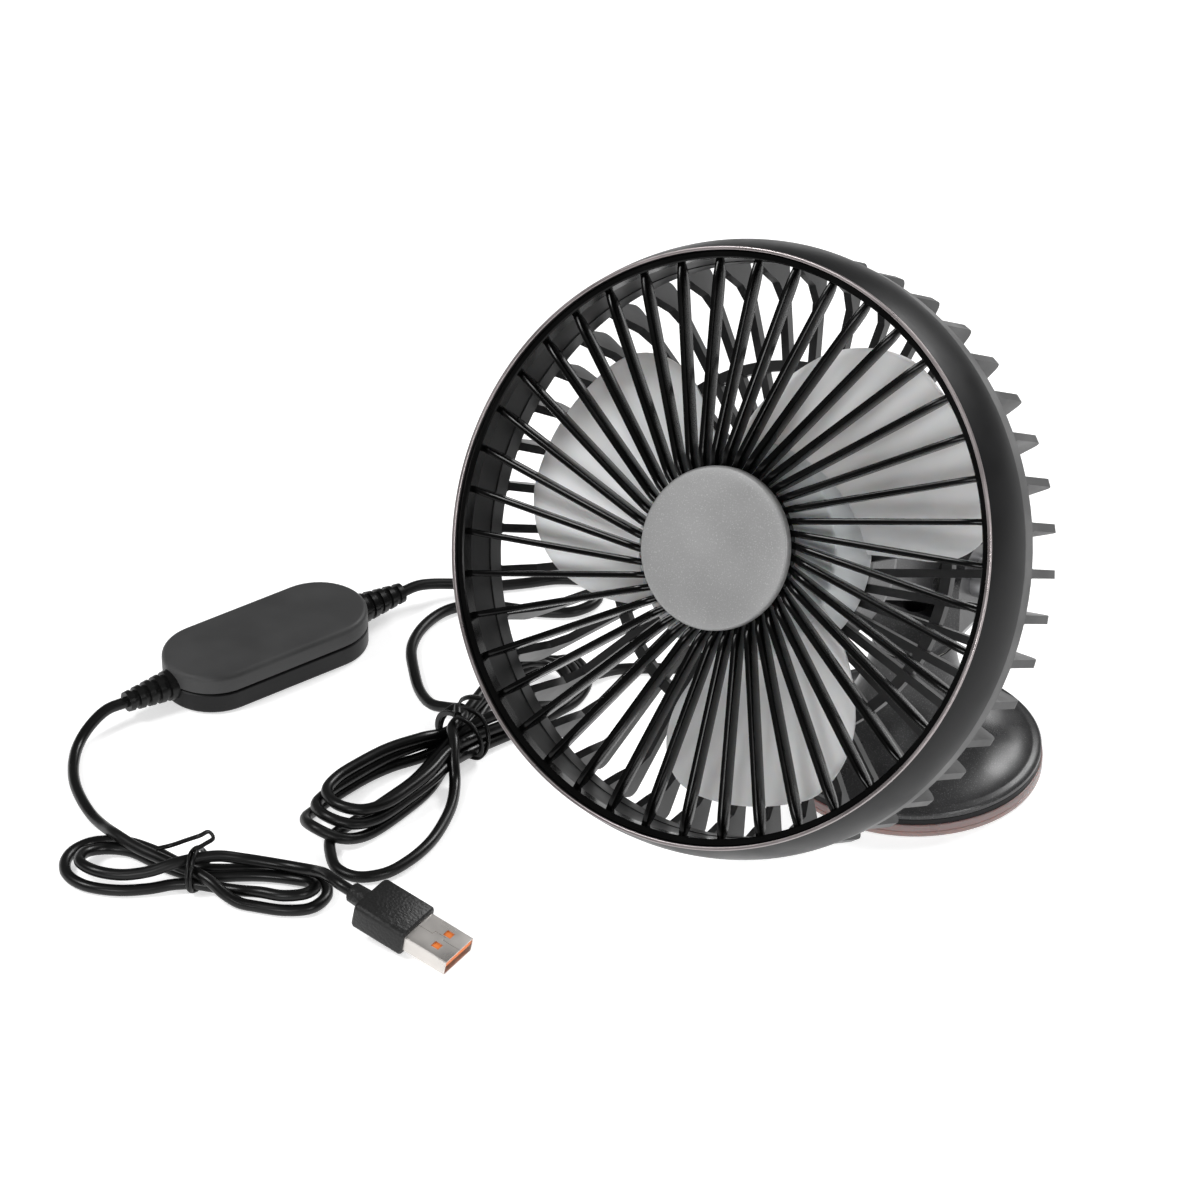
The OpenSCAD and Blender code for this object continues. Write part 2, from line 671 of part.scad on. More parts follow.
module controller_top() {
    edge = 0.8;
    color([0.2, 0.2, 0.2]) at_pod() difference() {
        union() {
            translate([0, 0, pod_split + 0.3]) linear_extrude(pod_h - pod_split - 0.3 - edge)
                stadium(pod_l, pod_w);
            translate([0, 0, pod_h - edge]) linear_extrude(edge)
                stadium(pod_l - edge, pod_w - edge);
        }
        translate([0, 0, pod_split - 1]) linear_extrude(pod_h - pod_split - 0.8)
            stadium(pod_l - 3.6, pod_w - 3.6);
        slider_slot();
        relief_seats();
    }
}

module controller_bottom() {
    color([0.12, 0.12, 0.12]) at_pod() difference() {
        union() {
            linear_extrude(0.8) stadium(pod_l - 1.4, pod_w - 1.4);
            translate([0, 0, 0.8]) linear_extrude(pod_split - 0.8) stadium(pod_l, pod_w);
            translate([0, 0, pod_split]) linear_extrude(0.3) stadium(pod_l - 1, pod_w - 1);
        }
        translate([0, 0, 1.8]) linear_extrude(pod_h) stadium(pod_l - 3.6, pod_w - 3.6);
        slider_slot();
        relief_seats();
    }
}

module controller_board() {
    color([0.1, 0.35, 0.2]) at_pod() union() {
        translate([0, 0, 1.8]) linear_extrude(1.4) stadium(pod_l - 10, pod_w - 8);
        translate([-4, -5, 3.2]) cube([8, 8, 1.2]);
        translate([10, -3, 3.2]) cylinder(r = 2.5, h = 4, $fn = 32);
    }
}

module speed_slider() {
    color([0.3, 0.3, 0.3]) at_pod() translate([-slide_travel / 2, 0, pod_split]) union() {
        translate([-3, pod_w / 2 - 3.4, -1.4]) cube([6, 4.4, 2.8]);
        for (k = [-1:1]) translate([1.6 * k - 0.3, pod_w / 2 + 0.9, -1.4]) cube([0.6, 0.7, 2.8]);
        translate([-1.5, pod_w / 2 - 6, -1.4]) cube([3, 3, 2]);
    }
}

// Ribbed taper that leaves the controller's end along its length
module relief() {
    step = relief_l / 9;
    function taper(x) = relief_start_r + (relief_end_r - relief_start_r) * x / relief_l;
    ribs = [for (k = [1:2:7]) each [[taper(k * step), k * step], [taper(k * step) - 0.7,
        k * step + 0.2], [taper(k * step) - 0.7, (k + 1) * step - 0.2], [taper((k + 1) * step),
        (k + 1) * step]]];
    rotate([0, 90, 0]) rotate_extrude($fn = 48) polygon(concat([[0, -2.8],
        [relief_spigot_r, -2.8], [relief_spigot_r, -relief_seat], [taper(0), -relief_seat],
        [taper(0), 0]], ribs, [[taper(relief_l), relief_l], [0, relief_l]]));
}

module relief_fan_side() {
    color([0.1, 0.1, 0.1]) at_pod() translate([pod_l / 2, 0, pod_cord_z]) relief();
}

module relief_plug_side() {
    color([0.1, 0.1, 0.1]) at_pod() translate([-pod_l / 2, 0, pod_cord_z])
        rotate([0, 0, 180]) relief();
}

// Lead, hanks and ties ---------------------------------------------------------------------------

module hank(at, size, yaw) {
    translate([at[0], at[1], 0]) rotate([0, 0, yaw]) linear_extrude(size[2])
        stadium(size[0], size[1]);
}

// Flat strap over the top of a hank and down both its sides, at a distance along it
module tie(at, size, yaw, along, w) {
    wall = 1;
    translate([at[0], at[1], 0]) rotate([0, 0, yaw]) translate([along - w / 2, 0, 0])
        difference() {
            translate([0, -size[1] / 2 - wall, 0]) cube([w, size[1] + 2 * wall, size[2] + wall]);
            translate([-1, -size[1] / 2, -1]) cube([w + 2, size[1], size[2] + 1]);
        }
}

module cord_from_base() { color([0.04, 0.04, 0.04]) tube(base_route, cord_r); }

module cord_hank_1() { color([0.04, 0.04, 0.04]) hank(hank_1_at, hank_1_size, hank_1_yaw); }

module cord_loose_loop() { color([0.04, 0.04, 0.04]) tube(loop_route, cord_r); }

module cord_to_controller() { color([0.04, 0.04, 0.04]) tube(lead_route, cord_r); }

module hank_tie_1() { color([0.1, 0.1, 0.1]) tie(hank_1_at, hank_1_size, hank_1_yaw, 3.5, 9); }

module cord_from_controller() { color([0.04, 0.04, 0.04]) tube(usb_route, cord_r); }

module cord_hank_2() { color([0.04, 0.04, 0.04]) hank(hank_2_at, hank_2_size, hank_2_yaw); }

module hank_tie_2() { color([0.1, 0.1, 0.1]) tie(hank_2_at, hank_2_size, hank_2_yaw, 0, 4); }

module cord_to_plug() { color([0.04, 0.04, 0.04]) tube(plug_route, cord_r); }

// Plug -------------------------------------------------------------------------------------------

// The plug's frame: +X out of the plug's mouth, the origin where the shell leaves the moulding
module at_plug() {
    translate(plug_at) rotate([0, plug_pitch, 0]) children();
}

module block(l, w, h) {
    translate([0, -w / 2, -h / 2]) cube([l, w, h]);
}

module plug_overmould() {
    chamfer = 1.2;
    color([0.1, 0.1, 0.1]) at_plug() difference() {
        union() {
            rotate([90, 0, 90]) translate([0, 0, -mould[0]]) linear_extrude(mould[0])
                polygon([[-mould[1] / 2 + chamfer, -mould[2] / 2],
                    [mould[1] / 2 - chamfer, -mould[2] / 2], [mould[1] / 2, chamfer - mould[2] / 2],
                    [mould[1] / 2, mould[2] / 2 - chamfer], [mould[1] / 2 - chamfer, mould[2] / 2],
                    [-mould[1] / 2 + chamfer, mould[2] / 2],
                    [-mould[1] / 2, mould[2] / 2 - chamfer],
                    [-mould[1] / 2, chamfer - mould[2] / 2]]);
            translate([-mould[0] - neck_l, 0, 0]) rotate([0, 90, 0])
                cylinder(r = 2.8, h = neck_l, $fn = 48);
        }
        translate([-6, 0, 0]) block(8, usb_w, usb_h);
    }
}

module plug_shell() {
    color([0.8, 0.8, 0.8]) at_plug() difference() {
        translate([-6, 0, 0]) block(usb_l + 6, usb_w, usb_h);
        translate([-5.5, 0, 0]) block(usb_l + 8, usb_w - 2 * usb_wall, usb_h - 2 * usb_wall);
        for (s = [-1, 1], t = [-1, 1])
            translate([usb_l / 2, s * 2.6 - 1.1, t > 0 ? usb_h / 2 - 1 : -usb_h / 2 - 1])
                cube([2.2, 2.2, 2]);
    }
}

module plug_tongue() {
    color([0.95, 0.42, 0.1]) at_plug() translate([-5.5, 0, 0.88]) block(usb_l + 5.2, 11.2, 1.9);
}

module plug_contacts() {
    color([0.85, 0.68, 0.3]) at_plug() for (k = [-1.5:1:1.5]) translate([1, 2.3 * k - 0.6, -0.27])
        cube([usb_l - 2.2, 1.2, 0.2]);
}

gel_pad();
base_plate();
base_weight();
base_shell();
base_screws();
swivel_washer();
cord_gland();
yoke();
spindle_nut();
tilt_bolt();
tilt_nut();
friction_washers();
tilt_arm();
arm_cover();
arm_screws();
motor_housing();
rear_cage();
cage_screws();
front_rim();
trim_ring();
front_grille();
hub_cap();
motor_can();
motor_magnets();
motor_end_cap();
motor_screws();
motor_board();
front_bearing();
rear_bearing();
impeller();
motor_shaft();
rotor_core();
impeller_clip();
controller_top();
controller_bottom();
controller_board();
speed_slider();
relief_fan_side();
relief_plug_side();
cord_from_base();
cord_hank_1();
cord_loose_loop();
cord_to_controller();
hank_tie_1();
cord_from_controller();
cord_hank_2();
hank_tie_2();
cord_to_plug();
plug_overmould();
plug_shell();
plug_tongue();
plug_contacts();
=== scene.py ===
"""Looks for the desk fan: materials, smooth skins over the CAD frame, the tied lead and its plug.

Lengths are written in millimetres and turned into metres by mm(). HEAD is the head's own frame, with
+Z forwards along the fan's axis from the front ring's plane and +Y up, as in the CAD.
"""
import json
import math

import bmesh
import bpy
from mathutils import Matrix, Vector

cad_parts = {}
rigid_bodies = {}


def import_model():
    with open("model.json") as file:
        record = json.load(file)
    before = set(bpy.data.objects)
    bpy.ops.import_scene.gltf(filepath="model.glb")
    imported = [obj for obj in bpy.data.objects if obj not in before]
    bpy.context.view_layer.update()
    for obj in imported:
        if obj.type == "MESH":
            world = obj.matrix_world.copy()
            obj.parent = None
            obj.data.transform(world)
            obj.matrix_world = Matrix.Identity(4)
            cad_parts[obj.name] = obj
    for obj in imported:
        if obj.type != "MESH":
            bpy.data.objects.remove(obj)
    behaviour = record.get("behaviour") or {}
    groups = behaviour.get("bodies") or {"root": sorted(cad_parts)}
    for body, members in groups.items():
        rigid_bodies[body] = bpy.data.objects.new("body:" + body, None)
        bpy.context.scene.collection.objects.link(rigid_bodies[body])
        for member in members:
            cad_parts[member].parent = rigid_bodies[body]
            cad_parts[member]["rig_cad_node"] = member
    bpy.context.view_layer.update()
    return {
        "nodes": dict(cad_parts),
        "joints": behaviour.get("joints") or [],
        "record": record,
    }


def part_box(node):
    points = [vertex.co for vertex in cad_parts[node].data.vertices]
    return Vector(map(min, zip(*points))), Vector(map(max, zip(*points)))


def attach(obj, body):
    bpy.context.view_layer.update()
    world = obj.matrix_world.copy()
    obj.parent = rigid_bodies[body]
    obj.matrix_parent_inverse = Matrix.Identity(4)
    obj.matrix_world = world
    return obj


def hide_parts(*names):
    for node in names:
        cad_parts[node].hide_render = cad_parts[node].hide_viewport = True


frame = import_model()
NODES = frame["nodes"]
JOINTS = {j["name"]: j for j in frame["joints"]}
SCENE = bpy.context.scene
MM = 0.001
TAU = 2 * math.pi


def mm(*v):
    return Vector(v) * MM


def axis_frame(origin, forward, side):
    """Matrix whose +Z is forward and whose +X is side."""
    z = Vector(forward).normalized()
    x = Vector(side).normalized()
    m = Matrix((x, z.cross(x), z)).transposed().to_4x4()
    m.translation = Vector(origin)
    return m


SPIN = JOINTS["fan_spin"]
HEAD = axis_frame(SPIN["pos_m"], SPIN["axis"], (1, 0, 0))
RING_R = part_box("trim_ring")[1].x / MM
RIM_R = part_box("front_rim")[1].x / MM
BASE_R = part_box("gel_pad")[1].x / MM

# Camera and stage --------------------------------------------------------------------------------

CAM_AZIMUTH = math.radians(33.2)
CAM_ELEVATION = math.radians(33.8)
CAM_TARGET = mm(-95.6, 0, 14.6)
CAM_DISTANCE = 1.3237
CAM_SENSOR = 36
LIGHT_AIM = mm(-50, -30, 60)
CAM_LENS = 149.22


def add_camera():
    back = Vector((math.sin(CAM_AZIMUTH) * math.cos(CAM_ELEVATION),
                   -math.cos(CAM_AZIMUTH) * math.cos(CAM_ELEVATION),
                   math.sin(CAM_ELEVATION)))
    data = bpy.data.cameras.new("camera")
    data.sensor_fit = "HORIZONTAL"
    data.sensor_width = CAM_SENSOR
    data.lens = CAM_LENS
    data.clip_end = 20
    camera = bpy.data.objects.new("camera", data)
    camera.matrix_world = axis_frame(CAM_TARGET + back * CAM_DISTANCE, back,
                                     (math.cos(CAM_AZIMUTH), math.sin(CAM_AZIMUTH), 0))
    SCENE.collection.objects.link(camera)
    SCENE.camera = camera


def add_light(name, place, energy, size):
    """Area light of the given power in watts and size in metres, aimed at the middle of the object."""
    data = bpy.data.lights.new(name, "AREA")
    data.energy = energy
    data.shape = "RECTANGLE"
    data.size, data.size_y = size
    light = bpy.data.objects.new(name, data)
    away = Vector(place) - LIGHT_AIM
    light.matrix_world = axis_frame(place, away, Vector((0, 0, 1)).cross(away))
    SCENE.collection.objects.link(light)


# Small mesh kit ----------------------------------------------------------------------------------


def link_mesh(name, bm, sharp=35):
    """Object from a bmesh, smooth apart from edges sharper than the given angle in degrees."""
    bmesh.ops.recalc_face_normals(bm, faces=bm.faces)
    mesh = bpy.data.meshes.new(name)
    bm.to_mesh(mesh)
    bm.free()
    mesh.polygons.foreach_set("use_smooth", [True] * len(mesh.polygons))
    mesh.set_sharp_from_angle(angle=math.radians(sharp))
    obj = bpy.data.objects.new(name, mesh)
    SCENE.collection.objects.link(obj)
    return obj


def skin_rings(bm, rings, closed=False):
    """Faces between rings of points of one length; closed joins the last ring to the first."""
    rows = [[bm.verts.new(p) for p in ring] for ring in rings]
    n = len(rows[0])
    pairs = list(zip(rows, rows[1:])) + ([(rows[-1], rows[0])] if closed else [])
    for a, b in pairs:
        for i in range(n):
            bm.faces.new((a[i], a[(i + 1) % n], b[(i + 1) % n], b[i]))
    if not closed:
        bm.faces.new(list(reversed(rows[0])))
        bm.faces.new(rows[-1])


def lathe(bm, profile, frame_m, segments=160):
    """A closed (radius, height) profile in millimetres, turned about the frame's +Z."""
    rings = []
    for k in range(segments):
        a = TAU * k / segments
        rings.append([frame_m @ mm(r * math.cos(a), r * math.sin(a), z) for r, z in profile])
    skin_rings(bm, rings, closed=True)


def lathe_solid(bm, profile, frame_m, segments=96):
    """A profile that starts and ends on the axis, turned into a solid with poles."""
    body = profile[1:-1]
    rows = []
    for r, z in body:
        rows.append([bm.verts.new(frame_m @ mm(r * math.cos(TAU * k / segments),
                                                r * math.sin(TAU * k / segments), z))
                     for k in range(segments)])
    for a, b in zip(rows, rows[1:]):
        for i in range(segments):
            j = (i + 1) % segments
            bm.faces.new((a[i], a[j], b[j], b[i]))
    for (r, z), row in ((profile[0], rows[0]), (profile[-1], rows[-1])):
        pole = bm.verts.new(frame_m @ mm(0, 0, z))
        for i in range(segments):
            bm.faces.new((pole, row[i], row[(i + 1) % segments]))


def arc(cx, cz, r, start, end, steps=8):
    """Points of an arc in a (radius, height) profile, angles in degrees from +radius to +height."""
    out = []
    for i in range(steps + 1):
        a = math.radians(start + (end - start) * i / steps)
        out.append((cx + r * math.cos(a), cz + r * math.sin(a)))
    return out


def smooth_path(points, step=1.0):
    """Centripetal Catmull-Rom curve through the points, about one point every step."""
    p = [Vector(q) for q in points]
    p = [2 * p[0] - p[1]] + p + [2 * p[-1] - p[-2]]
    out = []
    for i in range(1, len(p) - 2):
        t = [0.0]
        for a, b in zip(p[i - 1:i + 2], p[i:i + 3]):
            t.append(t[-1] + max((b - a).length, 1e-6) ** 0.5)
        count = max(2, round((p[i + 1] - p[i]).length / step))
        for k in range(count):
            u = t[1] + (t[2] - t[1]) * k / count
            a1 = p[i - 1].lerp(p[i], (u - t[0]) / (t[1] - t[0]))
            a2 = p[i].lerp(p[i + 1], (u - t[1]) / (t[2] - t[1]))
            a3 = p[i + 1].lerp(p[i + 2], (u - t[2]) / (t[3] - t[2]))
            b1 = a1.lerp(a2, (u - t[0]) / (t[2] - t[0]))
            b2 = a2.lerp(a3, (u - t[1]) / (t[3] - t[1]))
            out.append(b1.lerp(b2, (u - t[1]) / (t[2] - t[1])))
    return out + [p[-2]]


def sweep(bm, path, section, up=(0, 0, 1), close=False):
    """Sweeps a closed section of (across, out) offsets along a path, all in millimetres."""
    n = len(path)
    rings = []
    side = None
    for i, p in enumerate(path):
        ahead = path[(i + 1) % n] if close else path[min(i + 1, n - 1)]
        behind = path[i - 1] if close or i else path[0]
        t = (ahead - behind).normalized()
        side = Vector(up).cross(t) if side is None else side - side.dot(t) * t
        side.normalize()
        out = t.cross(side)
        rings.append([(p + side * a + out * b) * MM for a, b in section])
    skin_rings(bm, rings, closed=close)


def round_section(w, h, r, steps=3):
    """Corner-rounded rectangle as (across, out) offsets."""
    pts = []
    for cx, cy, a0 in ((1, 1, 0), (-1, 1, 90), (-1, -1, 180), (1, -1, 270)):
        for i in range(steps + 1):
            a = math.radians(a0 + 90 * i / steps)
            pts.append((cx * (w / 2 - r) + r * math.cos(a), cy * (h / 2 - r) + r * math.sin(a)))
    return pts


def stadium(length, width, steps=24):
    """Outline of a bar with round ends, in millimetres."""
    r = width / 2
    c = (length - width) / 2
    pts = []
    for sign, a0 in ((1, -90), (-1, 90)):
        for i in range(steps + 1):
            a = math.radians(a0 + 180 * i / steps)
            pts.append((sign * c + r * math.cos(a), r * math.sin(a)))
    return pts


# Lead: the route's points repeat part.scad's -----------------------------------------------------

CORD_D = 3.0
FLOOR_Z = CORD_D / 2
POD_AT = (-165, -56)
POD_YAW = math.radians(69.5)
POD_L, POD_W, POD_H = 60, 27, 11.5
POD_SPLIT = 5.9
POD_CORD_Z = 5.7
RELIEF_L = 13.5
POD_REACH = POD_L / 2 + RELIEF_L
PLUG_AT = Vector((-61, -134.6, 4.83))
PLUG_PITCH = math.radians(12)
MOULD_L, MOULD_W, MOULD_H = 15.2, 14, 7.6
NECK_L = 5
GLAND_END = (-47, 0, 11)
HANK_1 = ((-100, -64), math.radians(81.7))
HANK_2 = ((-122, -143.5), math.radians(21))
TIE_LIFT = 0.8


def pod_axis(x):
    return Vector((POD_AT[0] + x * math.cos(POD_YAW), POD_AT[1] + x * math.sin(POD_YAW), POD_CORD_Z))


def plug_axis(x):
    return PLUG_AT + x * Vector((-math.cos(PLUG_PITCH), 0, math.sin(PLUG_PITCH)))


def in_hank(hank, points):
    """Points given along, across and above a hank, in the row frame."""
    (x, y), yaw = hank
    c, s = math.cos(yaw), math.sin(yaw)
    return [Vector((x + u * c - v * s, y + u * s + v * c, z)) for u, v, z in points]


def flat(points):
    return [Vector((x, y, FLOOR_Z)) for x, y in points]


# Hank 1: the strands pass the tie in two layers, under the crossing lead, and open into stacked
# loops at both ends.
TIE_1_U = 3.5
LANES_1 = [(-1.5, 1.5), (1.6, 1.5), (-4.6, 1.5), (4.7, 1.5), (-3.1, 4.2), (3.2, 4.2), (0.1, 4.2)]
LOOP_R = 8.5
LOOP_STEP_Z = 2.9
LOOP_STEP_U = 4
NEAR_TIP = -50
FAR_TIP = 49


def eased(t):
    t = min(1, max(0, t))
    return t * t * (3 - 2 * t)


def pass_points(lane, side_in, level_in, side_out, level_out, down):
    """One strand through the tie, from a loop at one end of the hank to a loop at the other."""
    v_tie, z_tie = lane
    out = []
    for u in (30, 22, 13, TIE_1_U, -6, -15, -24):
        before = u > TIE_1_U
        side, level = (side_in, level_in) if before else (side_out, level_out)
        far = abs(u - TIE_1_U) / (30 - TIE_1_U)
        v = v_tie + (side * LOOP_R - v_tie) * eased(far)
        z_side = FLOOR_Z + LOOP_STEP_Z * level
        z = z_tie + TIE_LIFT + (z_side - z_tie - TIE_LIFT) * eased(2 * far)
        out.append((u, v, z))
    return out if down else [(u, v, z) for u, v, z in reversed(out)]


def end_loop(tip, level, side_from):
    """A fold at one end of the hank; its tip is lifted over the strand that leaves below it."""
    toward = 1 if tip > 0 else -1
    centre = tip - toward * (LOOP_R + LOOP_STEP_U * level)
    z_side = FLOOR_Z + LOOP_STEP_Z * level
    lift = 3.2 - 1.4 * level
    out = []
    for i in range(-2, 3):
        a = math.radians(45 * i)
        out.append((centre + toward * LOOP_R * math.cos(a), -side_from * LOOP_R * math.sin(a),
                    z_side + lift * math.cos(a) ** 2))
    return out


def hank_1_points():
    pts = [(44.8, -2.6, 1.5), (36, -3.6, 1.5), (26, -3.2, 1.5), (14, -2.2, 1.7),
           (TIE_1_U, LANES_1[0][0], LANES_1[0][1] + TIE_LIFT)]
    pts += pass_points(LANES_1[0], -1, 0, -1, 0, True)[4:]
    for k in range(3):
        pts += end_loop(NEAR_TIP, k, -1)
        pts += pass_points(LANES_1[2 * k + 1], 1, k, 1, k, False)
        pts += end_loop(FAR_TIP, k, 1)
        last = k == 2
        strand = pass_points(LANES_1[2 * k + 2], -1, k, -1, k + 1, True)
        pts += strand[:4] if last else strand
    return pts + [(-6, -0.6, 3.4), (-15, -1.6, 1.6), (-26, -2.2, 1.5), (-37, -2.5, 1.5)]


BASE_ROUTE = [Vector(GLAND_END), Vector((-53, 0, 10.6)), Vector((-59, 0, 8.6)),
              Vector((-65, -0.4, 5.4)), Vector((-71, -1.6, 2.7))]
BASE_ROUTE += flat([(-78, -4), (-84, -8.5), (-88, -14)])
LOOP_ROUTE = flat([(-104, -111), (-100, -117), (-95, -121), (-89, -121), (-84, -116), (-82, -108),
                   (-82, -99), (-84, -90), (-87, -82)])
OVER_BUNDLE = in_hank(HANK_1, [(-9.6, -10.5, 2.4), (-6.6, -7.4, 5.4), (-2.4, -3.6, 7.9),
                               (TIE_1_U - 2, 0.6, 7.9), (8.5, 3.4, 7.4), (11, 7, 6),
                               (11.4, 11.5, 4.2)])
LEAD_ROUTE = [Vector((-115, -50.5, 2.8))]
LEAD_ROUTE += flat([(-122, -46), (-129, -39), (-136, -30), (-139, -20), (-138, -10), (-132, -3),
                    (-124, 0), (-116, 3), (-109, 8), (-107, 16), (-113, 22), (-121, 19),
                    (-128, 12)])
LEAD_ROUTE += [Vector((-135, 5, 1.9)), Vector((-142, -2, 4)), pod_axis(POD_REACH + 6),
               pod_axis(POD_REACH)]

USB_ROUTE = [pod_axis(-POD_REACH), pod_axis(-POD_REACH - 6), Vector((-183, -109, 4)),
             Vector((-182, -115, 2.2))]
USB_ROUTE += flat([(-178.5, -121.5), (-173, -128), (-166, -133.5), (-160, -137)])
USB_ROUTE += [Vector((-154, -140, 2.6)), Vector((-148, -143, 4.5))]
# Hank 2: two folds at each end, and the last strand goes over all the others.
HANK_2_POINTS = [
    (-17, 5.2, 4.7), (-11, 2.4, 4.8), (-5, -0.4, 5.0), (0, -2, 5.0), (5, -4.6, 4.6),
    (9, -6.6, 3.0), (13, -7.6, 1.7), (17.5, -7.9, 1.5), (25.2, -7.9, 1.5), (31, -5.6, 1.5),
    (33.4, 0, 1.5), (31, 5.7, 1.5), (25.5, 8, 1.5), (18, 8, 1.5), (11, 6.4, 1.6), (5, 4.2, 2.1),
    (0, 3.3, 2.3), (-6, 4.8, 1.9), (-14, 9, 1.5), (-22, 11, 1.5), (-29.5, 9.3, 1.5),
    (-33.2, 5.6, 1.5), (-34.4, 0.5, 1.5), (-32.4, -5, 1.5), (-27, -8.5, 1.5), (-18.3, -8.9, 1.5),
    (-10.4, -6.6, 1.6), (-5, -4.4, 2.1), (0, -3.3, 2.3), (6, -3.1, 2.0), (12, -3.9, 2.6),
    (18, -5.5, 4.2), (24, -6.2, 4.6), (29, -4.2, 4.5), (30.6, -0.4, 3.8), (28.5, 3.4, 2.3),
    (23, 4.9, 1.5), (16, 4.6, 1.5), (10, 3.1, 1.7), (5, 1.1, 2.1), (0, 0, 2.3), (-6, 1.4, 2.0),
    (-12, 4.2, 1.5), (-20, 7.5, 1.5), (-26, 6.6, 1.9), (-30, 2.5, 3.1), (-29.6, -2.8, 4.2),
    (-25, -6, 4.6), (-18, -6.6, 4.7), (-11, -5, 5.6), (-5, -2.4, 7.2), (0, 0.6, 7.4),
    (5, 3.2, 7.0), (11, 5.4, 5.4), (19.8, 6.3, 4.4), (25.5, 5.4, 4.8)]
PLUG_ROUTE = [Vector((-96, -129.4, 5.8)), Vector((-91.5, -131.3, 8)), Vector((-87.5, -133.4, 9.4)),
              plug_axis(MOULD_L + NECK_L + 3), plug_axis(MOULD_L + NECK_L)]


def cord_object(name, path):
    """Round lead of one open spline along a smooth path in millimetres.

    The points' radius carries the lead's own, so that the curve's box is the lead's box.
    """
    data = bpy.data.curves.new(name, "CURVE")
    data.dimensions = "3D"
    data.bevel_depth = 1
    data.bevel_resolution = 5
    data.use_fill_caps = True
    spline = data.splines.new("POLY")
    spline.points.add(len(path) - 1)
    for point, p in zip(spline.points, path):
        point.co = (*(p * MM), 1)
        point.radius = CORD_D / 2 * MM
    spline.use_smooth = True
    obj = bpy.data.objects.new(name, data)
    SCENE.collection.objects.link(obj)
    return obj


LEAD_1_PATH = smooth_path(BASE_ROUTE + in_hank(HANK_1, hank_1_points()) + LOOP_ROUTE
                          + OVER_BUNDLE + LEAD_ROUTE)
LEAD_2_PATH = smooth_path(USB_ROUTE + in_hank(HANK_2, HANK_2_POINTS) + PLUG_ROUTE)

# Materials ---------------------------------------------------------------------------------------


def grain_material(name, colour, roughness, grain=0.3, bump=0.05, vary=0.12, rough_vary=0.08,
                   speckle=0.0, **sockets):
    """Moulded or cast surface: fine grain in the bump, slow drift in colour and roughness.

    grain is the size of the grain in millimetres, and speckle adds fine brighter flecks.
    """
    mat = bpy.data.materials.new(name)
    mat.use_nodes = True
    nodes, links = mat.node_tree.nodes, mat.node_tree.links
    shader = nodes["Principled BSDF"]
    for key, value in sockets.items():
        shader.inputs[key.replace("_", " ")].default_value = value
    coord = nodes.new("ShaderNodeTexCoord")

    def noise(size, detail):
        node = nodes.new("ShaderNodeTexNoise")
        node.inputs["Scale"].default_value = 1 / (size * MM)
        node.inputs["Detail"].default_value = detail
        links.new(coord.outputs["Object"], node.inputs["Vector"])
        return node.outputs["Fac"]

    def ramp(value, low, high):
        node = nodes.new("ShaderNodeMapRange")
        node.inputs["From Min"].default_value = 0.3
        node.inputs["From Max"].default_value = 0.7
        node.inputs["To Min"].default_value = low
        node.inputs["To Max"].default_value = high
        links.new(value, node.inputs["Value"])
        return node.outputs["Result"]

    slow = noise(14, 3)
    fine = noise(grain, 2)
    mix = nodes.new("ShaderNodeMix")
    mix.data_type = "RGBA"
    mix.inputs["A"].default_value = (*[c * (1 - vary) for c in colour], 1)
    mix.inputs["B"].default_value = (*[min(1, c * (1 + vary)) for c in colour], 1)
    links.new(ramp(slow, 0, 1), mix.inputs["Factor"])
    result = mix.outputs["Result"]
    if speckle:
        flecks = nodes.new("ShaderNodeMapRange")
        flecks.inputs["From Min"].default_value = 0.56
        flecks.inputs["From Max"].default_value = 0.74
        flecks.inputs["To Max"].default_value = 1
        links.new(noise(grain, 4), flecks.inputs["Value"])
        add = nodes.new("ShaderNodeMix")
        add.data_type = "RGBA"
        add.inputs["B"].default_value = (*[min(1, c + speckle) for c in colour], 1)
        links.new(flecks.outputs["Result"], add.inputs["Factor"])
        links.new(result, add.inputs["A"])
        result = add.outputs["Result"]
    links.new(result, shader.inputs["Base Color"])
    links.new(ramp(slow, max(0.02, roughness - rough_vary), roughness + rough_vary),
              shader.inputs["Roughness"])
    if bump:
        relief = nodes.new("ShaderNodeBump")
        relief.inputs["Strength"].default_value = 0.35
        relief.inputs["Distance"].default_value = bump * MM
        links.new(fine, relief.inputs["Height"])
        links.new(relief.outputs["Normal"], shader.inputs["Normal"])
    return mat


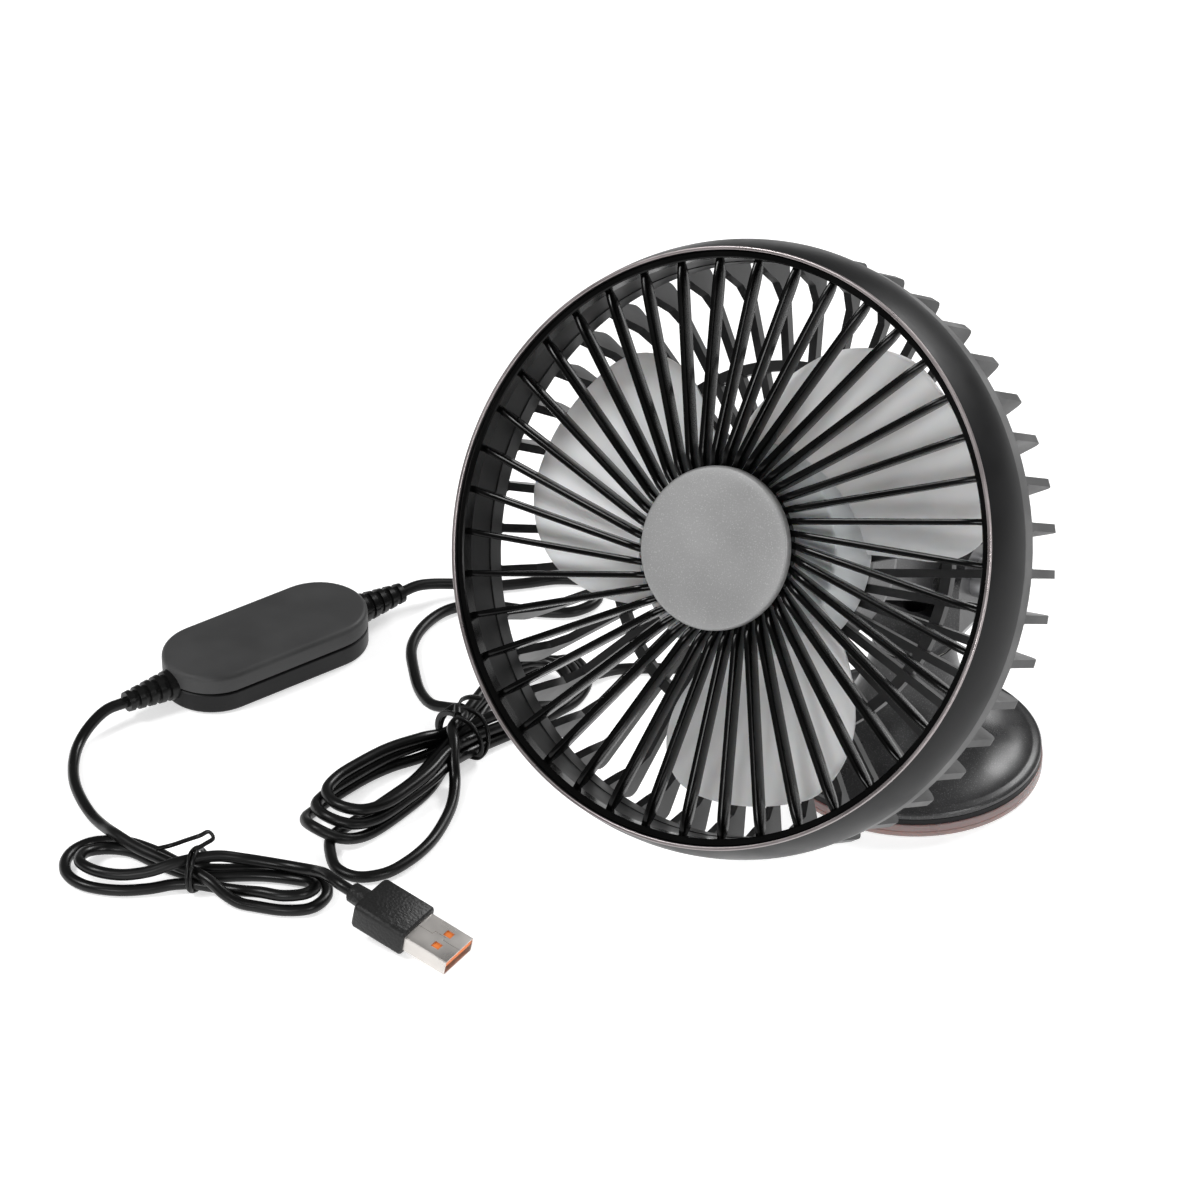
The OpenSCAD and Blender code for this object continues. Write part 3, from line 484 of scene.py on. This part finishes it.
MATERIALS = {
    "gel": grain_material("gel", (0.20, 0.172, 0.167), 0.3, grain=2.5, bump=0.05, vary=0.08,
                          Subsurface_Weight=0.2, IOR=1.42),
    "black_abs": grain_material("black_abs", (0.009, 0.009, 0.0095), 0.45, grain=0.25, bump=0.03,
                                Specular_IOR_Level=0.2),
    "dark_shell": grain_material("dark_shell", (0.020, 0.020, 0.021), 0.32, grain=0.3,
                                 bump=0.03, speckle=0.10, Specular_IOR_Level=0.6),
    "steel": grain_material("steel", (0.40, 0.40, 0.41), 0.35, grain=0.2, bump=0.01,
                            Metallic=0.9),
    "nylon": grain_material("nylon", (0.70, 0.70, 0.66), 0.5, grain=0.4, bump=0.02),
    "black_pvc": grain_material("black_pvc", (0.003, 0.003, 0.003), 0.34, grain=1.2, bump=0.03,
                                vary=0.2, Specular_IOR_Level=0.3),
    "dark_abs": grain_material("dark_abs", (0.052, 0.052, 0.0525), 0.50, grain=0.22, bump=0.035,
                               Specular_IOR_Level=0.3),
    "circuit_board": grain_material("circuit_board", (0.02, 0.12, 0.05), 0.35, grain=0.8,
                                    bump=0.02),
    "cage_grey": grain_material("cage_grey", (0.022, 0.022, 0.0225), 0.40, grain=0.3, bump=0.02,
                                Specular_IOR_Level=0.32),
    "satin_black": grain_material("satin_black", (0.009, 0.009, 0.0095), 0.38, grain=0.25,
                                  bump=0.012, Specular_IOR_Level=0.14),
    "bright_trim": grain_material("bright_trim", (0.34, 0.305, 0.305), 0.32, grain=0.6,
                                  bump=0.002, vary=0.05, Metallic=0.9),
    "gloss_black": grain_material("gloss_black", (0.0012, 0.0012, 0.0012), 0.20, grain=0.9,
                                  bump=0.02, Specular_IOR_Level=0.16),
    "cap_grey": grain_material("cap_grey", (0.27, 0.27, 0.27), 0.45, grain=0.30, bump=0.05,
                               vary=0.04, speckle=0.14, Metallic=0.2),
    "ferrite": grain_material("ferrite", (0.05, 0.05, 0.05), 0.6, grain=0.3, bump=0.04),
    "bronze": grain_material("bronze", (0.42, 0.28, 0.13), 0.4, grain=0.2, bump=0.03,
                             Metallic=0.8),
    "impeller_grey": grain_material("impeller_grey", (0.88, 0.88, 0.88), 0.42, grain=0.5,
                                    bump=0.015, vary=0.03, Subsurface_Weight=0.1),
    "copper_core": grain_material("copper_core", (0.50, 0.20, 0.09), 0.35, grain=0.4, bump=0.05,
                                  Metallic=0.8),
    "plug_steel": grain_material("plug_steel", (0.66, 0.63, 0.60), 0.3, grain=0.5, bump=0.004,
                                 vary=0.06, Metallic=0.75),
    "orange_abs": grain_material("orange_abs", (0.80, 0.20, 0.03), 0.45, grain=0.4, bump=0.02),
    "gold_contact": grain_material("gold_contact", (0.78, 0.55, 0.22), 0.25, grain=0.3,
                                   bump=0.01, Metallic=0.95),
    "mould_grain": grain_material("mould_grain", (0.010, 0.010, 0.010), 0.45, grain=0.8,
                                  bump=0.6, vary=0.2, Specular_IOR_Level=0.35),
}


def dress(obj, material):
    """Gives obj the one material."""
    obj.data.materials.clear()
    obj.data.materials.append(MATERIALS[material])


for row in frame["record"]["subparts"]:
    dress(NODES[row["node"]], row["material_slot"])


def stand_for(obj, body, material, *nodes, slot=None):
    """The piece rides on the body, takes the material, and stands for the CAD nodes."""
    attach(obj, body)
    dress(obj, material)
    if nodes:
        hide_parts(*nodes)
    return obj


# Camera, stage and cords -------------------------------------------------------------------------

add_camera()
LEAD_1 = stand_for(cord_object("lead_base_to_controller", LEAD_1_PATH), "base", "black_pvc",
                   "cord_from_base", "cord_hank_1", "cord_loose_loop", "cord_to_controller")
LEAD_2 = stand_for(cord_object("lead_controller_to_plug", LEAD_2_PATH), "base", "black_pvc",
                   "cord_from_controller", "cord_hank_2", "cord_to_plug")

FLOOR_HALF = 3
FLOOR_DROP = 0.0002
floor_mesh = bpy.data.meshes.new("floor")
floor_mesh.from_pydata([(-FLOOR_HALF, -FLOOR_HALF, 0), (FLOOR_HALF, -FLOOR_HALF, 0),
                        (FLOOR_HALF, FLOOR_HALF, 0), (-FLOOR_HALF, FLOOR_HALF, 0)],
                       [], [(0, 1, 2, 3)])
FLOOR = bpy.data.objects.new("floor", floor_mesh)
FLOOR.location.z = -FLOOR_DROP
SCENE.collection.objects.link(FLOOR)
MATERIALS["floor"] = grain_material("floor", (0.86, 0.86, 0.86), 0.6, grain=2, bump=0, vary=0.01,
                                    Emission_Color=(1, 1, 1, 1), Emission_Strength=0.55,
                                    Specular_IOR_Level=0.1)
floor_mesh.materials.append(MATERIALS["floor"])

WORLD = bpy.data.worlds.new("studio")
SCENE.world = WORLD
WORLD.use_nodes = True
WORLD.node_tree.nodes["Background"].inputs["Color"].default_value = (1, 1, 1, 1)
WORLD.node_tree.nodes["Background"].inputs["Strength"].default_value = 0.17
SCENE.view_settings.view_transform = "Standard"
add_light("key", (-0.75, -0.85, 1.25), 11, (0.4, 0.4))
add_light("front", (0.35, -1.5, 0.75), 7.5, (0.6, 0.3))
add_light("right", (1.25, -0.35, 0.75), 6.5, (0.35, 0.5))
add_light("back", (0.3, 1.3, 1.1), 15, (0.7, 0.4))

# Head: rim, trim, grille and cap -----------------------------------------------------------------

RIM_IN = RING_R - 0.9
RIM_BACK = 13.5
FIN_OUT = RIM_R - 1.6
LEDGE_Z = 4.6
CHANNEL_Z = 8.5
GRILLE_IN = RIM_IN - 1.8
RIBS = 42
SWIRL = 6.3
CAP_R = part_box("hub_cap")[1].x / MM
CAP_SEAT = 1.9
RING_STEPS = 240


def make_rim():
    """Satin flank that bulges from the trim to the seam, over the CAD's channel."""
    flank = []
    for i in range(25):
        t = i / 24 * 0.985
        flank.append((RING_R + (RIM_R - RING_R) * (1 - (1 - t) ** 2), -RIM_BACK * t))
    bm = bmesh.new()
    lathe(bm, [(RIM_IN, 0)] + flank
          + [(RIM_R - 0.08, -RIM_BACK + 0.05), (RIM_R - 0.25, -RIM_BACK), (FIN_OUT, -RIM_BACK),
             (FIN_OUT - 0.2, -CHANNEL_Z), (RIM_IN, -CHANNEL_Z), (RIM_IN, -RIM_BACK),
             (RIM_IN - 1.6, -RIM_BACK), (RIM_IN - 1.6, -LEDGE_Z), (RIM_IN, -LEDGE_Z)], HEAD, RING_STEPS)
    return link_mesh("rim_skin", bm, 50)


def make_trim():
    bm = bmesh.new()
    top = arc(RIM_IN + 0.25, 0.35, 0.25, 180, 90, 4) + arc(RING_R - 0.25, 0.35, 0.25, 90, 0, 4)
    lathe(bm, [(RIM_IN, 0)] + top + [(RING_R, 0)], HEAD, RING_STEPS)
    return link_mesh("trim_band", bm, 60)


def rib_rings(x_out):
    """Cross-sections of one grille rib along +X: rounded front, drawn flanks, knobbed outer end."""
    x_cap = math.sqrt((CAP_R + 0.5) ** 2 - (SWIRL - 0.75) ** 2)
    x_bend = x_out - 9
    stations = [(16.5, 2.15, 5.9, 0.70), (x_cap, 2.15, 5.9, 0.74), (x_cap + 1.6, 1.3, 5.9, 0.76)]
    stations += [(x_cap + 4 + (x_bend - x_cap - 4) * k / 5, 1.15, 6.0, 0.77 - 0.01 * k)
                 for k in range(6)]
    stations += [(x_bend + 9 * f, front, back, half)
                 for f, front, back, half in ((0.3, 1.18, 6.0, 0.72), (0.55, 1.35, 5.9, 0.72),
                                              (0.75, 1.7, 5.5, 0.72), (0.9, 2.1, 4.7, 0.76),
                                              (0.97, 2.3, 4.2, 0.82), (1.0, 2.5, 4.1, 0.8))]
    rings = []
    for x, front, back, half in stations:
        section = [(half - 0.42, -front), (half - 0.14, -front - 0.12), (half, -front - 0.45),
                   (half * 0.86, -back + 0.4), (half * 0.6, -back), (-half * 0.6, -back),
                   (-half * 0.86, -back + 0.4), (-half, -front - 0.45),
                   (-half + 0.14, -front - 0.12), (-half + 0.42, -front)]
        rings.append([(x, SWIRL + y, z) for y, z in section])
    return rings


def make_grille():
    bm = bmesh.new()
    x_out = math.sqrt((GRILLE_IN + 0.6) ** 2 - SWIRL ** 2)
    rings = rib_rings(x_out)
    for k in range(RIBS):
        turn = HEAD @ Matrix.Rotation(TAU * k / RIBS, 4, "Z")
        skin_rings(bm, [[turn @ mm(*p) for p in ring] for ring in rings])
    back = LEDGE_Z - 0.2
    wall = [(RIM_IN - 0.1, -back), (RIM_IN - 0.1, -0.7), (RIM_IN - 0.3, -0.5),
            (GRILLE_IN + 0.3, -0.5), (GRILLE_IN, -0.8), (GRILLE_IN, -back + 0.2),
            (GRILLE_IN + 0.2, -back)]
    lathe(bm, wall, HEAD, RING_STEPS)
    lathe(bm, [(18.2, -5.6), (18.2, -2.3), (1.25, -2.3), (1.25, -5.6)], HEAD, 96)
    return link_mesh("grille_skin", bm, 42)


def make_cap():
    bm = bmesh.new()
    crown = [(0, 1.2)] + [(CAP_R * f, 1.2 - 0.25 * f ** 3) for f in (0.15, 0.3, 0.45, 0.6, 0.75, 0.86)]
    edge = arc(CAP_R - 0.9, 0.0, 0.9, 80, 0, 6)
    lathe_solid(bm, crown + edge + [(CAP_R, -1.3), (CAP_R - 0.6, -CAP_SEAT), (1.15, -CAP_SEAT),
                                    (1.15, -4.4), (0, -4.4)], HEAD, 160)
    return link_mesh("cap_disc", bm, 50)


stand_for(make_rim(), "head", "satin_black", "front_rim")
stand_for(make_trim(), "head", "bright_trim", "trim_ring")
stand_for(make_grille(), "head", "gloss_black", "front_grille")
stand_for(make_cap(), "head", "cap_grey", "hub_cap")

# Impeller ----------------------------------------------------------------------------------------

HUB_R = 26.0
TIP_R = 60.5
BLADE_BACK = 29.0
BLADE_RISE = 17.0
BLADE_CW, BLADE_CCW = 36.6, 55
BLADES = 3
BLADE_START = math.radians(52)
HUB_FRONT, HUB_BACK = 11.0, 30.5


def tip_trim(r, corner):
    past = max(0, r - TIP_R + corner)
    return math.degrees((corner - math.sqrt(max(0, corner ** 2 - past ** 2))) / r)


def blade_point(r, v, up):
    """Blade surface at a radius and chord fraction, lifted by up along the axis."""
    cw = -BLADE_CW - 0.1 * (r - HUB_R) + tip_trim(r, 20)
    ccw = BLADE_CCW - (r - HUB_R) - tip_trim(r, 12)
    a = cw + (ccw - cw) * v
    z = (-BLADE_BACK + up + BLADE_RISE * (a + BLADE_CW + 4) / (BLADE_CCW + BLADE_CW)
         + 1.6 * math.sin(math.pi * v) * (r / TIP_R))
    return r * math.cos(math.radians(a)), r * math.sin(math.radians(a)), z


def make_impeller():
    bm = bmesh.new()
    rows, cols, half = 30, 36, 0.75
    for b in range(BLADES):
        turn = HEAD @ Matrix.Rotation(BLADE_START + TAU * b / BLADES, 4, "Z")
        rings = []
        for i in range(rows + 1):
            r = HUB_R - 0.6 + (TIP_R - HUB_R + 0.6) * math.sin(math.pi / 2 * i / rows)
            thin = half if i < rows else half * 0.3
            front = [blade_point(r, j / cols, thin * (0.35 if j in (0, cols) else 1))
                     for j in range(cols + 1)]
            back = [blade_point(r, j / cols, -thin * (0.35 if j in (0, cols) else 1))
                    for j in range(cols, -1, -1)]
            rings.append([turn @ mm(*p) for p in front + back])
        rows_v = [[bm.verts.new(p) for p in ring] for ring in rings]
        n = len(rows_v[0])
        for a, c in zip(rows_v, rows_v[1:]):
            for i in range(n):
                bm.faces.new((a[i], a[(i + 1) % n], c[(i + 1) % n], c[i]))
        for row in (rows_v[0], rows_v[-1]):
            for j in range(cols):
                bm.faces.new((row[j], row[j + 1], row[n - 2 - j], row[n - 1 - j]))
    front_edge = arc(HUB_R - 1, -HUB_FRONT - 1, 1, 90, 0, 6)
    lathe(bm, [(1.5, -HUB_FRONT)] + front_edge
          + [(HUB_R, -HUB_BACK + 0.2), (HUB_R - 0.2, -HUB_BACK), (HUB_R - 1.6, -HUB_BACK),
             (HUB_R - 1.6, -HUB_FRONT - 2.6), (4, -HUB_FRONT - 2), (4, -27), (1.5, -27)], HEAD, 128)
    for k in range(6):
        turn = HEAD @ Matrix.Rotation(TAU * k / 6, 4, "Z")
        skin_rings(bm, [[turn @ mm(x, y, z) for y, z in ((-0.6, -22), (0.6, -22), (0.6, -HUB_FRONT - 1.6),
                                                    (-0.6, -HUB_FRONT - 1.6))]
                        for x in (3.2, HUB_R - 1.2)])
    return link_mesh("impeller_skin", bm, 40)


stand_for(make_impeller(), "rotor", "impeller_grey", "impeller")

# Base --------------------------------------------------------------------------------------------

PAD_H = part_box("gel_pad")[1].z / MM
NECK_Z = JOINTS["pan_swivel"]["pos_m"][2] / MM - 0.6
FOOT_R = BASE_R - 0.4
SHELL_Z = PAD_H + 1.5
UPRIGHT = Matrix.Identity(4)


def make_base_shell():
    """Trumpet flare over its stepped foot band, with the lead's boss at the back left."""
    flare_r, flare_z, top_z, end_r = FOOT_R - 2, SHELL_Z + 2, NECK_Z + 8, 10.0
    flare = []
    for i in range(49):
        a = math.radians(90 - (90 - math.degrees(math.asin(8 / (top_z - flare_z)))) * i / 48)
        flare.append((flare_r - (flare_r - end_r) * math.cos(a),
                      top_z - (top_z - flare_z) * math.sin(a)))
    foot = [(FOOT_R - 3, SHELL_Z), (FOOT_R - 0.2, SHELL_Z), (FOOT_R, SHELL_Z + 0.2),
            (FOOT_R, flare_z - 0.8), (FOOT_R - 0.3, flare_z - 0.45), (flare_r + 0.6, flare_z - 0.4)]
    inner = [(6.05, NECK_Z), (6.05, NECK_Z - 8), (9, NECK_Z - 8)]
    inner += [(r - 2, z - 2) for r, z in reversed(flare) if z < NECK_Z - 8 and r < 28]
    bm = bmesh.new()
    lathe(bm, foot + flare + inner, UPRIGHT, 160)
    rings = []
    for x, r in ((-22, 4.4), (-32.9, 4.4), (-33.3, 4.25), (-33.5, 4.0)):
        rings.append([mm(x, r * math.cos(TAU * k / 40), 11 + r * math.sin(TAU * k / 40))
                      for k in range(40)])
    skin_rings(bm, rings)
    return link_mesh("base_skin", bm, 40)


def make_pad():
    """Soft disc with a rolled lower edge and a parting groove round its middle."""
    bm = bmesh.new()
    edge = arc(BASE_R - 1.1, 1.1, 1.1, -90, 0, 6)
    edge += [(BASE_R, PAD_H * 0.46), (BASE_R - 0.3, PAD_H * 0.5), (BASE_R, PAD_H * 0.54)]
    edge += arc(BASE_R - 0.3, PAD_H - 0.3, 0.3, 0, 90, 4)
    lathe_solid(bm, [(0, 0), (10, 0), (25, 0)] + edge + [(25, PAD_H), (10, PAD_H), (0, PAD_H)],
                UPRIGHT, 160)
    return link_mesh("pad_skin", bm, 50)


stand_for(make_base_shell(), "base", "dark_shell", "base_shell")
stand_for(make_pad(), "base", "gel", "gel_pad")

# Controller --------------------------------------------------------------------------------------

POD = Matrix.Translation(mm(*POD_AT, 0)) @ Matrix.Rotation(POD_YAW, 4, "Z")


def cut(obj, cutter_bm):
    """Takes the cutter's solids out of obj's mesh for good."""
    cutter = link_mesh("cutter", cutter_bm)
    change = obj.modifiers.new("cut", "BOOLEAN")
    change.object = cutter
    change.solver = "EXACT"
    change.use_self = True
    bpy.context.view_layer.update()
    solid = bpy.data.meshes.new_from_object(obj.evaluated_get(bpy.context.evaluated_depsgraph_get()))
    obj.modifiers.clear()
    solid.set_sharp_from_angle(angle=math.radians(25))
    obj.data = solid
    solid.name = obj.name
    bpy.data.objects.remove(cutter)


def block(bm, x0, x1, y0, y1, z0, z1, frame_m):
    bmesh.ops.create_cube(bm, size=1, matrix=frame_m @ Matrix.Translation(
        mm((x0 + x1) / 2, (y0 + y1) / 2, (z0 + z1) / 2)) @ Matrix.Diagonal(
        (*mm(x1 - x0, y1 - y0, z1 - z0), 1)))


def controller_cutter():
    """The slider's slot and the two strain reliefs' seats."""
    bm = bmesh.new()
    block(bm, -5.8, 5.8, POD_W / 2 - 4, POD_W / 2 + 4, POD_SPLIT - 1.7, POD_SPLIT + 1.7, POD)
    for side in (-1, 1):
        way = POD @ axis_frame(mm(side * POD_L / 2, 0, POD_CORD_Z), (side, 0, 0), (0, 1, 0))
        lathe_solid(bm, [(0, -4), (2.5, -4), (2.5, -0.8), (4.2, -0.8), (4.2, 4), (0, 4)], way, 48)
    return bm


def stadium_rings(levels):
    """Bar outlines, each inset from the controller's own at its height."""
    return [[POD @ mm(x, y, z) for x, y in stadium(POD_L - 2 * inset, POD_W - 2 * inset)]
            for inset, z in levels]


def make_controller(name, outside, ceiling, floor_z):
    bm = bmesh.new()
    skin_rings(bm, stadium_rings([(1.8, ceiling), (1.8, floor_z)] + outside))
    obj = link_mesh(name, bm, 40)
    cut(obj, controller_cutter())
    return obj


def make_controller_top():
    edge = [(1.5 - x, z) for x, z in arc(0, POD_H - 1.5, 1.5, 0, 90, 8)]
    low = POD_SPLIT + 0.3
    return make_controller("controller_lid", [(0.35, low), (0, low + 0.3)] + edge
                           + [(3, POD_H), (8, POD_H)], POD_H - 1.8, low)


def make_controller_bottom():
    edge = [(1.2 - x, z) for x, z in arc(0, 1.2, 1.2, 0, -90, 6)]
    top = POD_SPLIT + 0.3
    return make_controller("controller_tray", [(0.6, top), (0.6, POD_SPLIT - 0.1),
                                               (0.3, POD_SPLIT - 0.1), (0, POD_SPLIT - 0.4)]
                           + edge + [(3, 0)], 1.8, top)


stand_for(make_controller_top(), "base", "dark_abs", "controller_top")
stand_for(make_controller_bottom(), "base", "black_abs", "controller_bottom")

# Ties --------------------------------------------------------------------------------------------


def make_tie(name, hank, strips):
    """Strips along smooth paths given in a hank's own frame, each closed or with two ends."""
    bm = bmesh.new()
    for points, closed, section in strips:
        pts = in_hank(hank, points)
        path = smooth_path([pts[-1]] + pts + pts[:2] if closed else pts, 0.5)
        if closed:
            start = min(range(len(path) // 2), key=lambda i: (path[i] - pts[0]).length)
            rest = range(len(path) // 2, len(path))
            path = path[start:min(rest, key=lambda i: (path[i] - pts[0]).length)]
        sweep(bm, path, section, up=(math.cos(hank[1]), math.sin(hank[1]), 0), close=closed)
    return link_mesh(name, bm, 40)


def ring_round(u_top, u_low, left, right, top):
    """Twelve points of a band round a hank, leaning from u_low under it to u_top over it."""
    out = []
    for v, z in ((0, top), (-0.5, top - 0.4), (-0.88, 7.8), (-1, 4), (-0.82, 1.2), (-0.5, 0.45),
                 (0, 0.45), (0.5, 0.45), (0.82, 1.2), (1, 4), (0.88, 7.8), (0.5, top - 0.4)):
        u = u_low + (u_top - u_low) * z / top
        out.append((u, v * (left if v < 0 else right), min(z, top)))
    return out


STRIP = round_section(1.5, 0.7, 0.3)
KNOT = round_section(2.2, 1.7, 0.6)
WIRE = round_section(1.2, 0.9, 0.4)
TIE_1 = make_tie("tie_1_band", HANK_1, [
    (ring_round(3.5, 3.5, 7.8, 7.8, 10.6), True, STRIP),
    (ring_round(7.6, 3.0, 8.4, 7.9, 10.9), True, STRIP),
    ([(3.4, 0.4, 11.3), (4.6, 1.6, 11.7), (5.8, 2.8, 11.4)], False, KNOT),
    ([(5.6, 2.4, 11.6), (8.4, 3.6, 11.9), (11.6, 3.4, 11.2), (14, 1.8, 10.2)], False, STRIP)])
TIE_2 = make_tie("tie_2_band", HANK_2, [
    ([(0, 0, 9.5), (0, -3.4, 8.2), (0, -5.6, 5), (0, -5.4, 2), (0, -3, 0.5), (0, 0, 0.5),
      (0, 3, 0.5), (0, 5.6, 2), (0, 5.9, 5), (0, 3.8, 8.2)], True, WIRE),
    ([(-1.3, 0, 9.3), (-1.2, -3.2, 8.1), (-0.9, -5.7, 5), (-0.4, -5.6, 2), (0.6, -3.2, 0.5),
      (1.3, 0, 0.5), (1.4, 3, 0.5), (1.2, 5.7, 2), (0.6, 6.1, 5), (-0.6, 4, 8.2)], True, WIRE),
    ([(-0.6, 0.2, 10.1), (1.6, 3.2, 10.3), (3, 5.6, 10.6), (1.8, 6, 12), (0.2, 3.8, 12.2),
      (-3.6, 4, 10), (-8, 4.3, 7.4), (-11.2, 2.5, 7.2)], False, WIRE)])
stand_for(TIE_1, "base", "black_pvc", "hank_tie_1")
stand_for(TIE_2, "base", "black_pvc", "hank_tie_2")

# Plug --------------------------------------------------------------------------------------------

PLUG = Matrix.Translation(PLUG_AT * MM) @ Matrix.Rotation(PLUG_PITCH, 4, "Y")
USB_W, USB_H, USB_L = 12, 4.5, 12.4


def make_overmould():
    """Rounded handle with a pocket that the shell sits in, closing down to the lead's neck."""
    levels = [(-6, USB_W, USB_H, 0.2), (0, USB_W, USB_H, 0.2),
              (0, MOULD_W - 1.2, MOULD_H - 1.2, 1.0), (-0.2, MOULD_W - 0.5, MOULD_H - 0.5, 1.2),
              (-0.6, MOULD_W, MOULD_H, 1.4), (-MOULD_L / 2, MOULD_W, MOULD_H, 1.4),
              (-MOULD_L + 0.9, MOULD_W, MOULD_H, 1.4), (-MOULD_L + 0.3, MOULD_W - 0.6, MOULD_H - 0.6, 1.3),
              (-MOULD_L, MOULD_W - 1.6, MOULD_H - 1.4, 1.2), (-MOULD_L, 6.2, 5.5, 2.6),
              (-MOULD_L - 0.4, 5.6, 5.5, 2.7), (-MOULD_L - NECK_L + 0.4, 5.2, 5.2, 2.58),
              (-MOULD_L - NECK_L, 4.4, 4.4, 2.18)]
    bm = bmesh.new()
    skin_rings(bm, [[PLUG @ mm(x, y, z) for y, z in round_section(w, h, r, 5)]
                    for x, w, h, r in levels])
    return link_mesh("plug_handle", bm, 50)


def make_shell():
    """Folded sheet-steel sleeve with four latch windows and the fold's seam along its top."""
    wall = 0.3
    rings = [(-6, 0), (USB_L, 0), (USB_L, wall), (-5.5, wall)]
    bm = bmesh.new()
    skin_rings(bm, [[PLUG @ mm(x, y, z)
                     for y, z in round_section(USB_W - 2 * inset, USB_H - 2 * inset, 0.55 - inset)]
                    for x, inset in rings])
    obj = link_mesh("plug_sleeve", bm, 40)
    holes = bmesh.new()
    for side in (-1, 1):
        for face in (-1, 1):
            block(holes, USB_L / 2, USB_L / 2 + 2.2, side * 2.6 - 1.1, side * 2.6 + 1.1,
                  face * USB_H / 2 - 1, face * USB_H / 2 + 1, PLUG)
    top = USB_H / 2
    for x0, x1, y in ((0, 4.2, 0), (4.2, 7.4, 1.1), (7.4, USB_L + 1, -0.1)):
        block(holes, x0, x1, y - 0.07, y + 0.07, top - 0.2, top + 1, PLUG)
    for x, y0, y1 in ((4.2, -0.07, 1.17), (7.4, -0.17, 1.17)):
        block(holes, x - 0.07, x + 0.07, y0, y1, top - 0.2, top + 1, PLUG)
    cut(obj, holes)
    return obj


HANDLE = stand_for(make_overmould(), "base", "mould_grain", "plug_overmould",
                   slot="black_pvc")
SLEEVE = stand_for(make_shell(), "base", "plug_steel", "plug_shell")
